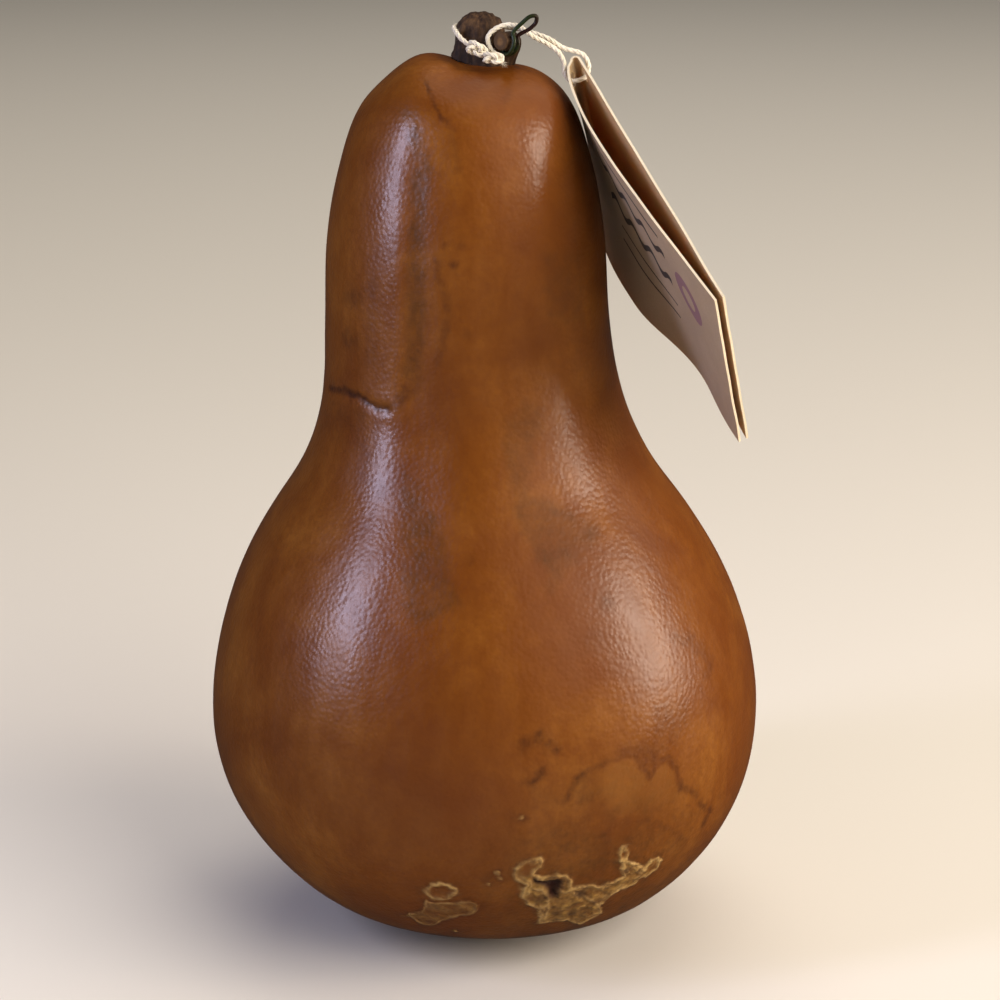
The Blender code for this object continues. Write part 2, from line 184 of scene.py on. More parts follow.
# Long shallow flutes and ridges of the neck: x, lowest and highest z, half width, and rise in mm.
FLUTES = [
    (-19.8, 134, 168, 1.1, 0.12),
    (-15.8, 128, 184, 2.2, -0.17),
    (-25.0, 136, 158, 1.8, -0.08),
    (-11.0, 132, 166, 1.6, 0.1),
    (-2.0, 120, 160, 3.0, -0.1),
]

# Where the stem is seated in the crown, as (x, y), and the radius of the blossom end's button.
STEM_SEAT = (-2.3, 0.5)
BUTTON_RADIUS = 3.2
# The middle of the stem, the pit in its left side and a worn spot on its top.
STEM_MIDDLE = (-2.3, 1.7)
STEM_PIT = (-5.2, -2.9, 206.2)
STEM_WORN = (-4.0, -1.6, 208.9)

# The string, wire and tag, in millimetres.

STRING_DIAMETER = 1.1
STRING_ROUTE = [
    (2.2, -9.0, 201.0), (1.0, -8.6, 201.4), (-1.0, -7.2, 202.3), (-3.8, -5.4, 203.7),
    (-6.1, -4.0, 205.2), (-7.5, -1.6, 206.6), (-7.9, 1.8, 207.3), (-6.9, 4.8, 207.4),
    (-4.4, 6.8, 207.3), (-0.6, 7.1, 207.2), (2.8, 5.7, 207.0), (6.0, 2.9, 206.9),
    (9.0, -0.8, 206.4), (12.6, -2.4, 205.3), (15.9, -2.8, 203.3),
]
# Its turn through the tag's hole: how far in from the tag's corner, and how far off the fold.
STRING_THROUGH_TAG = [(0.4, 2.1), (3.1, 2.3), (4.9, 0.9), (5.1, -1.0), (4.6, -2.5), (2.6, -3.2), (0.4, -2.5)]
STRING_BACK = [
    (14.9, -3.6, 202.4), (12.2, -3.6, 204.4), (9.6, -3.8, 205.7), (7.9, -4.1, 206.9),
    (6.3, -4.1, 208.0), (3.9, -3.9, 208.4), (1.3, -4.4, 207.7), (-0.5, -4.7, 205.9),
    (-0.1, -5.2, 203.6), (1.3, -6.1, 202.1), (2.2, -7.3, 201.2),
]
# Where the string is tied: middle, half sizes, lean to the side and spin about the string, in degrees.
STRING_KNOTS = [
    ((-3.0, -6.8, 203.5), (2.3, 0.85, 1.35), 22, 12),
    ((0.5, -8.8, 201.8), (2.2, 0.75, 1.05), 4, 20),
]

ARM_TIP = (2.1, -7.0, 205.1)
ARM_BEFORE_TIP = (4.1, -4.4, 205.0)
WIRE_DIAMETER = 0.9
WIRE_HOOK_RADIUS = 2.9
# Each hook is a list of turns round the stem's arm in degrees, and how far behind its cut end it lies.
WIRE_FRONT_HOOK = [(-105, 1.8), (-80, 1.4), (-55, 1.2), (-25, 1.1), (10, 1.3), (40, 1.6)]
WIRE_BACK_HOOK = [(25, 3.0), (-10, 2.8), (-45, 2.8), (-80, 2.9), (-108, 3.1), (-132, 3.2)]
WIRE_LOOP = [
    (7.0, -6.9, 209.2), (8.7, -6.9, 210.5), (9.9, -6.6, 210.5), (9.9, -6.2, 209.2), (8.6, -6.2, 207.8),
]

TAG_CORNER = Vector((18.2, -3.0, 201.4))
TAG_ALONG = Vector((0.373, -0.743, -0.556))
TAG_ACROSS = Vector((0.170, 0.644, -0.746))
TAG_OUT = TAG_ALONG.cross(TAG_ACROSS).normalized()
TAG_LENGTH = 76
TAG_WIDTH = 51
TAG_FOLD_RADIUS = 0.9
TAG_BOW_TOP = 4.0
TAG_BOW_FOOT = 5.0
TAG_BOW_SKEW = 0.55
TAG_SWING = 2.8
TAG_SWING_START = 0.38
TAG_HOLE_RADIUS = 1.6
TAG_HOLE_INSET = 3.2
# The card's steps along its strip, and the share of the strip on each side that the fold takes up.
TAG_STRIP_STEPS = 108
TAG_FOLD_SHARE = 0.02
# Plain waved and straight rules on the tag: place across it, half thickness, wave height, wave length,
# and where the rule starts and ends along the tag from its fold, all in mm.
TAG_RULES = [
    (7.5, 0.6, 0.0, 9.0, 16, 50),
    (15.5, 1.1, 1.5, 8.5, 16, 50),
    (25.0, 1.1, 1.5, 8.5, 20, 50),
    (32.5, 0.3, 0.0, 9.0, 24, 50),
    (37.0, 0.3, 0.0, 9.0, 24, 50),
]
# A plain ring in the second ink: place across and along the tag, radius and half thickness.
TAG_RING = (18.0, 60.0, 4.6, 1.6)


def linear(hex_colour):
    """An sRGB hex colour as linear numbers."""
    values = [int(hex_colour[i : i + 2], 16) / 255 for i in (0, 2, 4)]
    return (*[v / 12.92 if v <= 0.04045 else ((v + 0.055) / 1.055) ** 2.4 for v in values], 1.0)


def colour_prop(name, description, hex_colour):
    return FloatVectorProperty(
        name=name, description=description, subtype="COLOR", size=4, min=0, max=1, default=linear(hex_colour)
    )


# Settings of each piece.


class RindSettings(bpy.types.PropertyGroup):
    main: colour_prop("Rind", "Rubbed rind where nothing has stained it", "75410C")
    dark: colour_prop("Dark Clouds", "Soft dark and ruddy clouds in the rind", "643208")
    light: colour_prop("Pale Clouds", "Soft pale and yellow clouds in the rind", "865116")
    # The stain colour also paints a shadow round the stem's foot.
    stain: colour_prop("Stain", "Spots and lines", "2C110A")
    # The dull colour also paints shade down the neck's groove and, in part, round the large scar.
    dull: colour_prop("Dull Patches", "Olive patches where the wax did not take", "3C2A12")
    damp: colour_prop("Dried Damp", "Inside the tide mark", "85561F")
    crust_rim: colour_prop("Scar Rim", "Raised pale edges of the corky scars", "AC8A52")
    crust: colour_prop("Scar Crust", "The corky scars inside their edges", "7A571C")
    split: colour_prop("Split", "Down in the scar's deep split", "2A0B07")
    roughness: FloatProperty(
        name="Roughness", description="Satin sheen of the rubbed rind", min=0, max=1, default=0.31
    )
    grain: FloatProperty(
        name="Grain Size",
        description="Distance between the pebbles of the rind's grain",
        unit="LENGTH",
        min=0.0002,
        default=1.0 * MM,
    )


class StemSettings(bpy.types.PropertyGroup):
    bark: colour_prop("Bark", "Dry skin of the stem", "402C1B")
    furrow: colour_prop("Furrows", "Dark furrows between the fibres", "1F120B")
    fibre: colour_prop("Fibres", "Pale worn fibres", "64492F")
    pith: colour_prop("Pith", "Middle of the cut end", "7C5C38")


class WireSettings(bpy.types.PropertyGroup):
    coating: colour_prop("Coating", "Dark green coating", "1E2A10")
    # This colour is painted along one stretch of the wire.
    worn: colour_prop("Worn Coating", "The strand whose coating has turned brown", "26120E")
    roughness: FloatProperty(name="Roughness", description="Gloss of the coating", min=0, max=1, default=0.38)


class StringSettings(bpy.types.PropertyGroup):
    cotton: colour_prop("Cotton", "Unbleached cotton", "F3ECDC")
    shade: colour_prop("Shade", "Dust and shade between the plies", "D2C6AC")
    ply_pitch: FloatProperty(
        name="Ply Pitch",
        description="Length of one turn of the plies",
        unit="LENGTH",
        min=0.001,
        default=4.2 * MM,
    )


class TagSettings(bpy.types.PropertyGroup):
    # The outer card is darker than the cream card really is, as painted shade.
    card: colour_prop("Card", "Uncoated card", "A8927A")
    # The inside is warmer and brighter than the card, as painted light bounced off the gourd.
    inside: colour_prop("Inside", "Card inside the fold", "BEA37E")
    edge: colour_prop("Cut Edge", "Edge where the card was cut", "F2E4C6")
    ink: colour_prop("Ink", "Plain printed rules", "262224")
    ring_ink: colour_prop("Second Ink", "Plain printed ring", "7C5566")
    thickness: FloatProperty(
        name="Thickness", description="Card thickness", unit="LENGTH", min=0.0001, default=0.5 * MM
    )


class StageSettings(bpy.types.PropertyGroup):
    floor: colour_prop("Floor", "Plain pale floor", "DEDAD2")
    window: colour_prop("Window", "Cool light from the left", "DCDDFF")
    lamp: colour_prop("Lamp", "Warm light from the right", "FFEAD6")
    window_power: FloatProperty(
        name="Window Power", description="Cool light from the left", unit="POWER", min=0, default=1.6
    )
    lamp_power: FloatProperty(
        name="Lamp Power", description="Warm light from the right", unit="POWER", min=0, default=4.6
    )
    front_power: FloatProperty(
        name="Front Power", description="Soft light beside the camera", unit="POWER", min=0, default=22.0
    )
    top_power: FloatProperty(
        name="Top Power", description="Soft light from above", unit="POWER", min=0, default=32.0
    )
    ceiling_power: FloatProperty(
        name="Ceiling Power",
        description="Pale ceiling that the wax reflects",
        unit="POWER",
        min=0,
        default=5.5,
    )


class GourdSettings(bpy.types.PropertyGroup):
    rind: PointerProperty(type=RindSettings)
    stem: PointerProperty(type=StemSettings)
    wire: PointerProperty(type=WireSettings)
    string: PointerProperty(type=StringSettings)
    tag: PointerProperty(type=TagSettings)
    stage: PointerProperty(type=StageSettings)


# Shapes and mesh helpers that the pieces share.


def smooth_through(points, steps):
    """Centripetal Catmull-Rom curve through all points, straight on beyond each end."""
    points = [points[0] * 2 - points[1], *points, points[-1] * 2 - points[-2]]
    curve = []
    for before, start, end, after in zip(points, points[1:], points[2:], points[3:]):
        t1 = math.sqrt((start - before).length)
        t2 = t1 + math.sqrt((end - start).length)
        t3 = t2 + math.sqrt((after - end).length)
        for step in range(steps):
            t = t1 + (t2 - t1) * step / steps
            a1 = before.lerp(start, t / t1)
            a2 = start.lerp(end, (t - t1) / (t2 - t1))
            a3 = end.lerp(after, (t - t2) / (t3 - t2))
            b1 = a1.lerp(a2, t / t2)
            b2 = a2.lerp(a3, (t - t1) / (t3 - t1))
            curve.append(b1.lerp(b2, (t - t1) / (t2 - t1)))
    curve.append(points[-2].copy())
    return curve


def evenly(curve, spacing):
    """Points along a curve at about this spacing, its two ends among them."""
    walked = [0.0]
    for a, b in zip(curve, curve[1:]):
        walked.append(walked[-1] + (b - a).length)
    count = max(2, round(walked[-1] / spacing))
    points, k = [], 0
    for i in range(count + 1):
        goal = walked[-1] * i / count
        while k < len(curve) - 2 and walked[k + 1] < goal:
            k += 1
        share = (goal - walked[k]) / (walked[k + 1] - walked[k])
        points.append(curve[k].lerp(curve[k + 1], share))
    return points


def frames_along(points):
    """Tangent, side and rise at each point, turning as little as a cord laid along them would."""
    tangents = []
    for i in range(len(points)):
        tangents.append((points[min(i + 1, len(points) - 1)] - points[max(i - 1, 0)]).normalized())
    side = tangents[0].orthogonal().normalized()
    frames = []
    for tangent in tangents:
        side = (side - tangent * side.dot(tangent)).normalized()
        frames.append((tangent, side, tangent.cross(side)))
    return frames


def shape_of(piece):
    """The mesh that the viewport makes of an object, which is then removed."""
    bpy.context.view_layer.update()
    graph = bpy.context.evaluated_depsgraph_get()
    mesh = bpy.data.meshes.new_from_object(piece.evaluated_get(graph), depsgraph=graph)
    bpy.data.objects.remove(piece)
    return mesh


def add_piece(name, mesh, materials):
    mesh.name = name
    # Slots are filled in place, because clearing them would put every face on the first one.
    while len(mesh.materials) > len(materials):
        mesh.materials.pop()
    for slot, material in enumerate(materials):
        if slot < len(mesh.materials):
            mesh.materials[slot] = material
        else:
            mesh.materials.append(material)
    mesh.shade_smooth()
    piece = bpy.data.objects.new(name, mesh)
    bpy.context.scene.collection.objects.link(piece)
    return piece


def temporary(data):
    piece = bpy.data.objects.new("temporary", data)
    bpy.context.scene.collection.objects.link(piece)
    return piece


def rods(lines, radius, resolution):
    """A mesh of round rods with closed ends. Each line is a list of (point in mm, share of the radius)."""
    data = bpy.data.curves.new("rods", "CURVE")
    data.dimensions = "3D"
    data.bevel_depth = radius * MM
    data.bevel_resolution = resolution
    data.use_fill_caps = True
    for line in lines:
        spline = data.splines.new("POLY")
        spline.points.add(len(line) - 1)
        for target, (point, share) in zip(spline.points, line):
            target.co = (*(point * MM), 1)
            target.radius = share
    mesh = shape_of(temporary(data))
    bm = bmesh.new()
    bm.from_mesh(mesh)
    bmesh.ops.remove_doubles(bm, verts=bm.verts, dist=WELD)
    bm.to_mesh(mesh)
    bm.free()
    return mesh


def joined(meshes):
    bm = bmesh.new()
    for mesh in meshes:
        bm.from_mesh(mesh)
        bpy.data.meshes.remove(mesh)
    whole = bpy.data.meshes.new("joined")
    bm.to_mesh(whole)
    bm.free()
    return whole


def copy_of_solid(node):
    """A solid's mesh with its loose triangles merged, and pairs of them made quads."""
    bm = bmesh.new()
    bm.from_mesh(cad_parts[node].data)
    bmesh.ops.remove_doubles(bm, verts=bm.verts, dist=WELD)
    bmesh.ops.join_triangles(
        bm, faces=bm.faces, angle_face_threshold=math.radians(40), angle_shape_threshold=math.radians(60)
    )
    mesh = bpy.data.meshes.new(node + "_copy")
    bm.to_mesh(mesh)
    bm.free()
    for name in ("custom_normal", "sharp_face", "sharp_edge"):
        if name in mesh.attributes:
            mesh.attributes.remove(mesh.attributes[name])
    return mesh


def subdivided(mesh, levels):
    piece = temporary(mesh)
    modifier = piece.modifiers.new("smooth", "SUBSURF")
    modifier.levels = modifier.render_levels = levels
    return shape_of(piece)


def read(mesh, kind):
    values = np.empty(len(mesh.vertices) * 3, np.float32)
    mesh.vertices.foreach_get(kind, values)
    return values.reshape(-1, 3).astype(float)


def store(mesh, name, values):
    attribute = mesh.attributes.new(name, "FLOAT", "POINT")
    attribute.data.foreach_set("value", np.asarray(values, np.float32))


def fuzz(points, size, seed):
    """Smooth noise from -1 to 1 at each point in mm, with lumps of this size in mm."""
    shift = Vector((seed * 17.3, seed * 5.1, seed * 9.7))
    return np.array([noise.noise(Vector(p) + shift) for p in (points / size).tolist()])


def bell(distance, width):
    return np.exp(-((distance / width) ** 2))


def ease(values, low, high):
    share = np.clip((values - low) / (high - low), 0, 1)
    return share * share * (3 - 2 * share)


def line_distance(flat, line):
    """Distance of each flat point from a line of points."""
    best = np.full(len(flat), 1e9)
    for a, b in zip(line, line[1:]):
        a, step = np.array(a, float), np.array(b, float) - np.array(a, float)
        share = np.clip(((flat - a) @ step) / (step @ step), 0, 1)
        best = np.minimum(best, np.linalg.norm(flat - a - share[:, None] * step, axis=1))
    return best


def depth_inside(flat, outline):
    """How far inside an outline each flat point lies: below 0 where it is outside."""
    closed = [*outline, outline[0]]
    inside = np.zeros(len(flat), bool)
    for (x1, z1), (x2, z2) in zip(closed, closed[1:]):
        if z1 == z2:
            continue
        crosses = (z1 > flat[:, 1]) != (z2 > flat[:, 1])
        inside ^= crosses & (flat[:, 0] < x1 + (flat[:, 1] - z1) * (x2 - x1) / (z2 - z1))
    return np.where(inside, 1, -1) * line_distance(flat, closed)


# Materials.


def new_material(name):
    material = bpy.data.materials.new(name)
    material.use_nodes = True
    return material, material.node_tree, material.node_tree.nodes["Principled BSDF"]


def add_node(tree, kind, settings=None, inputs=None, stops=None):
    """Adds a node with its settings, its values or links by input, and a ramp's stops."""
    node = tree.nodes.new(kind)
    for name, value in (settings or {}).items():
        setattr(node, name, value)
    for key, value in (inputs or {}).items():
        if isinstance(value, bpy.types.NodeSocket):
            tree.links.new(value, node.inputs[key])
        else:
            node.inputs[key].default_value = value
    if stops:
        elements = node.color_ramp.elements
        while len(elements) < len(stops):
            elements.new(1.0)
        for element, (place, colour) in zip(elements, stops):
            element.position = place
            element.color = colour
    return node


def grey(value):
    return (value, value, value, 1)


def rubbed_rind(looks):
    """Woody gourd rind, scraped, dried and rubbed with wax.

    Satin, with a pebbled grain that breaks up its highlights, and soft brown clouds.
    """
    material, tree, shader = new_material("rubbed_rind")
    place = add_node(tree, "ShaderNodeTexCoord").outputs["Object"]
    drawn_out = add_node(tree, "ShaderNodeMapping", inputs={"Vector": place, "Scale": (1, 1, 0.3)})
    clouds = add_node(
        tree,
        "ShaderNodeTexNoise",
        inputs={"Vector": place, "Scale": 1 / (26 * MM), "Detail": 4, "Roughness": 0.6, "Distortion": 0.6},
    )
    streaks = add_node(
        tree,
        "ShaderNodeTexNoise",
        inputs={"Vector": drawn_out.outputs[0], "Scale": 1 / (5 * MM), "Detail": 4, "Roughness": 0.6},
    )
    mottle = add_node(
        tree,
        "ShaderNodeTexNoise",
        inputs={"Vector": place, "Scale": 1 / (1.7 * MM), "Detail": 4, "Roughness": 0.65},
    )
    colour = add_node(
        tree,
        "ShaderNodeValToRGB",
        inputs={"Fac": clouds.outputs["Fac"]},
        stops=[(0.3, looks.dark), (0.5, looks.main), (0.72, looks.light)],
    ).outputs[0]
    for pattern, low, high, most in ((streaks, 0.34, 0.56, 0.4), (mottle, 0.34, 0.62, 0.4)):
        share = add_node(
            tree,
            "ShaderNodeMapRange",
            inputs={
                "Value": pattern.outputs["Fac"],
                "From Min": low,
                "From Max": high,
                "To Min": most,
                "To Max": 0,
            },
        )
        colour = add_node(
            tree, "ShaderNodeMix", {"data_type": "RGBA"}, {0: share.outputs[0], 6: colour, 7: looks.dark}
        ).outputs[2]

    # Damp, dull patches and stains, each a little uneven. The stains also hold a painted shadow round the
    # stem's foot, and the dull patches hold painted shade down the neck's groove and round the large scar.
    uneven = add_node(
        tree,
        "ShaderNodeMapRange",
        inputs={
            "Value": mottle.outputs["Fac"],
            "From Min": 0.3,
            "From Max": 0.62,
            "To Min": 1.15,
            "To Max": 0.6,
        },
    )
    for attribute, patch in (("damp", looks.damp), ("dull", looks.dull), ("stain", looks.stain)):
        amount = add_node(tree, "ShaderNodeAttribute", {"attribute_name": attribute})
        share = add_node(
            tree,
            "ShaderNodeMath",
            {"operation": "MULTIPLY", "use_clamp": True},
            {0: amount.outputs["Fac"], 1: uneven.outputs[0]},
        )
        colour = add_node(
            tree, "ShaderNodeMix", {"data_type": "RGBA"}, {0: share.outputs[0], 6: colour, 7: patch}
        ).outputs[2]

    # Corky scars: soft clouds about 2 mm across, pale raised rims, and the dark split.
    crumbs = add_node(
        tree,
        "ShaderNodeTexNoise",
        inputs={"Vector": place, "Scale": 1 / (2.2 * MM), "Detail": 4, "Roughness": 0.55},
    )
    crust_colour = add_node(
        tree,
        "ShaderNodeValToRGB",
        inputs={"Fac": crumbs.outputs["Fac"]},
        stops=[(0.3, linear("4E320C")), (0.5, looks.crust), (0.7, linear("9A7432"))],
    ).outputs[0]
    crust = add_node(tree, "ShaderNodeAttribute", {"attribute_name": "crust"}).outputs["Fac"]
    colour = add_node(
        tree, "ShaderNodeMix", {"data_type": "RGBA"}, {0: crust, 6: colour, 7: crust_colour}
    ).outputs[2]
    rim = add_node(tree, "ShaderNodeAttribute", {"attribute_name": "rim"}).outputs["Fac"]
    worn = add_node(
        tree,
        "ShaderNodeMapRange",
        inputs={
            "Value": crumbs.outputs["Fac"],
            "From Min": 0.36,
            "From Max": 0.56,
            "To Min": 0.25,
            "To Max": 1,
        },
    )
    rim_share = add_node(
        tree, "ShaderNodeMath", {"operation": "MULTIPLY", "use_clamp": True}, {0: rim, 1: worn.outputs[0]}
    )
    colour = add_node(
        tree, "ShaderNodeMix", {"data_type": "RGBA"}, {0: rim_share.outputs[0], 6: colour, 7: looks.crust_rim}
    ).outputs[2]
    split = add_node(tree, "ShaderNodeAttribute", {"attribute_name": "split"}).outputs["Fac"]
    colour = add_node(
        tree, "ShaderNodeMix", {"data_type": "RGBA"}, {0: split, 6: colour, 7: looks.split}
    ).outputs[2]
    tree.links.new(colour, shader.inputs["Base Color"])

    # The grain: low pebbles that run together, which show where the light glances.
    pebbles = add_node(
        tree,
        "ShaderNodeTexVoronoi",
        {"feature": "SMOOTH_F1"},
        {"Vector": place, "Scale": 1 / looks.grain, "Smoothness": 0.55},
    )
    grain = add_node(
        tree,
        "ShaderNodeBump",
        {"invert": True},
        {"Strength": 1.0, "Distance": 0.065 * MM, "Height": pebbles.outputs["Distance"]},
    )
    crumb_height = add_node(
        tree, "ShaderNodeMath", {"operation": "MULTIPLY"}, {0: crumbs.outputs["Fac"], 1: crust}
    )
    crumb_bump = add_node(
        tree,
        "ShaderNodeBump",
        inputs={
            "Strength": 1.0,
            "Distance": 0.25 * MM,
            "Height": crumb_height.outputs[0],
            "Normal": grain.outputs[0],
        },
    )
    tree.links.new(crumb_bump.outputs[0], shader.inputs["Normal"])
    rubbed = add_node(
        tree,
        "ShaderNodeMapRange",
        inputs={
            "Value": streaks.outputs["Fac"],
            "From Min": 0.3,
            "From Max": 0.7,
            "To Min": looks.roughness - 0.03,
            "To Max": looks.roughness + 0.06,
        },
    )
    roughness = add_node(
        tree, "ShaderNodeMix", {"data_type": "FLOAT"}, {0: crust, 2: rubbed.outputs[0], 3: 0.8}
    )
    tree.links.new(roughness.outputs[0], shader.inputs["Roughness"])
    shader.inputs["IOR"].default_value = 1.58
    return material


def weathered_stem(looks):
    """Dry gourd stem, hard and fibrous.

    Dull, with furrows along its length, pale worn fibres and a paler pith where it was cut.
    """
    material, tree, shader = new_material("weathered_stem")
    place = add_node(tree, "ShaderNodeTexCoord").outputs["Object"]
    drawn_out = add_node(tree, "ShaderNodeMapping", inputs={"Vector": place, "Scale": (1, 1, 0.28)})
    fibres = add_node(
        tree,
        "ShaderNodeTexNoise",
        inputs={"Vector": drawn_out.outputs[0], "Scale": 1 / (0.9 * MM), "Detail": 5, "Roughness": 0.65},
    )
    patches = add_node(
        tree,
        "ShaderNodeTexNoise",
        inputs={"Vector": place, "Scale": 1 / (4.5 * MM), "Detail": 3, "Roughness": 0.5},
    )
    colour = add_node(
        tree,
        "ShaderNodeValToRGB",
        inputs={"Fac": fibres.outputs["Fac"]},
        stops=[(0.34, looks.furrow), (0.5, looks.bark), (0.7, looks.fibre)],
    ).outputs[0]
    patch_share = add_node(
        tree,
        "ShaderNodeValToRGB",
        inputs={"Fac": patches.outputs["Fac"]},
        stops=[(0.4, grey(0.6)), (0.6, grey(0))],
    ).outputs[0]
    colour = add_node(
        tree, "ShaderNodeMix", {"data_type": "RGBA"}, {0: patch_share, 6: colour, 7: looks.furrow}
    ).outputs[2]
    # This darkens the pit and paints a shadow round the cut end's rim.
    hollow = add_node(tree, "ShaderNodeAttribute", {"attribute_name": "hollow"}).outputs["Fac"]
    colour = add_node(
        tree, "ShaderNodeMix", {"data_type": "RGBA"}, {0: hollow, 6: colour, 7: linear("1C0E0A")}
    ).outputs[2]
    pith = add_node(tree, "ShaderNodeAttribute", {"attribute_name": "pith"}).outputs["Fac"]
    colour = add_node(
        tree, "ShaderNodeMix", {"data_type": "RGBA"}, {0: pith, 6: colour, 7: looks.pith}
    ).outputs[2]
    tree.links.new(colour, shader.inputs["Base Color"])
    bump = add_node(
        tree,
        "ShaderNodeBump",
        inputs={"Strength": 0.9, "Distance": 0.2 * MM, "Height": fibres.outputs["Fac"]},
    )
    tree.links.new(bump.outputs[0], shader.inputs["Normal"])
    shader.inputs["Roughness"].default_value = 0.78
    return material


def coated_wire(looks):
    """Soft steel wire in a thin extruded coating.

    Dark and slightly glossy, with fine drag lines along it, and dark reddish brown along one stretch.
    """
    material, tree, shader = new_material("coated_wire")
    place = add_node(tree, "ShaderNodeTexCoord").outputs["Object"]
    along = add_node(tree, "ShaderNodeAttribute", {"attribute_name": "along"}).outputs["Fac"]
    scuffs = add_node(
        tree,
        "ShaderNodeTexNoise",
        inputs={"Vector": place, "Scale": 1 / (0.8 * MM), "Detail": 4, "Roughness": 0.6},
    )
    wavering = add_node(
        tree, "ShaderNodeMath", {"operation": "MULTIPLY_ADD"}, {0: scuffs.outputs["Fac"], 1: 0.16, 2: -0.08}
    )
    strand = add_node(tree, "ShaderNodeMath", {"operation": "ADD"}, {0: along, 1: wavering.outputs[0]})
    colour = add_node(
        tree,
        "ShaderNodeValToRGB",
        inputs={"Fac": strand.outputs[0]},
        stops=[(0.42, looks.coating), (0.54, looks.worn), (0.74, looks.worn), (0.82, looks.coating)],
    )
    tree.links.new(colour.outputs[0], shader.inputs["Base Color"])
    dull = add_node(
        tree,
        "ShaderNodeMapRange",
        inputs={
            "Value": scuffs.outputs["Fac"],
            "From Min": 0.35,
            "From Max": 0.65,
            "To Min": looks.roughness - 0.08,
            "To Max": looks.roughness + 0.16,
        },
    )
    tree.links.new(dull.outputs[0], shader.inputs["Roughness"])
    bump = add_node(
        tree,
        "ShaderNodeBump",
        inputs={"Strength": 0.5, "Distance": 0.03 * MM, "Height": scuffs.outputs["Fac"]},
    )
    tree.links.new(bump.outputs[0], shader.inputs["Normal"])
    return material


def spun_cotton(looks):
    """Soft unbleached cotton, spun into plies and laid into string.

    Matt and cream, with fine fibres that catch the light, and dust in the lay between the plies.
    """
    material, tree, shader = new_material("spun_cotton")
    place = add_node(tree, "ShaderNodeTexCoord").outputs["Object"]
    fibres = add_node(
        tree,
        "ShaderNodeTexNoise",
        # Real fibres are 0.02 mm; these are drawn at 0.12 mm so that they show.
        inputs={"Vector": place, "Scale": 1 / (0.12 * MM), "Detail": 3, "Roughness": 0.7},
    )
    dust = add_node(
        tree,
        "ShaderNodeTexNoise",
        inputs={"Vector": place, "Scale": 1 / (2.6 * MM), "Detail": 2, "Roughness": 0.5},
    )
    fibre_share = add_node(
        tree,
        "ShaderNodeValToRGB",
        inputs={"Fac": fibres.outputs["Fac"]},
        stops=[(0.34, grey(0.5)), (0.56, grey(0))],
    ).outputs[0]
    colour = add_node(
        tree, "ShaderNodeMix", {"data_type": "RGBA"}, {0: fibre_share, 6: looks.cotton, 7: looks.shade}
    ).outputs[2]
    dust_share = add_node(
        tree,
        "ShaderNodeValToRGB",
        inputs={"Fac": dust.outputs["Fac"]},
        stops=[(0.42, grey(0.35)), (0.6, grey(0))],
    ).outputs[0]
    colour = add_node(
        tree, "ShaderNodeMix", {"data_type": "RGBA"}, {0: dust_share, 6: colour, 7: looks.shade}
    ).outputs[2]
    tree.links.new(colour, shader.inputs["Base Color"])
    bump = add_node(
        tree,
        "ShaderNodeBump",
        inputs={"Strength": 0.7, "Distance": 0.05 * MM, "Height": fibres.outputs["Fac"]},
    )
    tree.links.new(bump.outputs[0], shader.inputs["Normal"])
    shader.inputs["Roughness"].default_value = 0.95
    shader.inputs["Sheen Weight"].default_value = 0.25
    shader.inputs["Sheen Roughness"].default_value = 0.5
    return material


def uncoated_card(name, looks, printed=False, edge=False):
    """Uncoated tag card, die cut and folded by hand.

    Matt and cream with short fibres and a faint blotch, and paler where it was cut.
    """
    material, tree, shader = new_material(name)
    place = add_node(tree, "ShaderNodeTexCoord").outputs["Object"]
    fibres = add_node(
        tree,
        "ShaderNodeTexNoise",
        inputs={"Vector": place, "Scale": 1 / (0.5 * MM), "Detail": 5, "Roughness": 0.7},
    )
    blotch = add_node(
        tree,
        "ShaderNodeTexNoise",
        inputs={"Vector": place, "Scale": 1 / (9 * MM), "Detail": 3, "Roughness": 0.5},
    )
    # The printed side's colour is darkened as painted shade, and the inside's is warmed as painted light
    # bounced off the gourd.
    card = looks.card if printed else looks.edge if edge else looks.inside
    darker = tuple(c * 0.8 for c in card[:3]) + (1,)
    fibre_share = add_node(
        tree,
        "ShaderNodeValToRGB",
        inputs={"Fac": fibres.outputs["Fac"]},
        stops=[(0.36, grey(0.55)), (0.6, grey(0))],
    ).outputs[0]
    colour = add_node(
        tree, "ShaderNodeMix", {"data_type": "RGBA"}, {0: fibre_share, 6: card, 7: darker}
    ).outputs[2]
    blotch_share = add_node(
        tree,
        "ShaderNodeValToRGB",
        inputs={"Fac": blotch.outputs["Fac"]},
        stops=[(0.42, grey(0.4)), (0.62, grey(0))],
    ).outputs[0]
    colour = add_node(
        tree, "ShaderNodeMix", {"data_type": "RGBA"}, {0: blotch_share, 6: colour, 7: darker}
    ).outputs[2]
    if printed:
        colour = print_rules(tree, looks, colour, fibres.outputs["Fac"])
    tree.links.new(colour, shader.inputs["Base Color"])
    bump = add_node(
        tree,
        "ShaderNodeBump",
        inputs={"Strength": 0.6, "Distance": 0.05 * MM, "Height": fibres.outputs["Fac"]},
    )
    tree.links.new(bump.outputs[0], shader.inputs["Normal"])
    shader.inputs["Roughness"].default_value = 0.88
    # Light shows through thin card, a little warmer than it went in.
    shader.inputs["Subsurface Weight"].default_value = 0 if edge else 0.6
    shader.inputs["Subsurface Radius"].default_value = (1.0, 0.82, 0.5)
    shader.inputs["Subsurface Scale"].default_value = 1.1 * MM
    return material


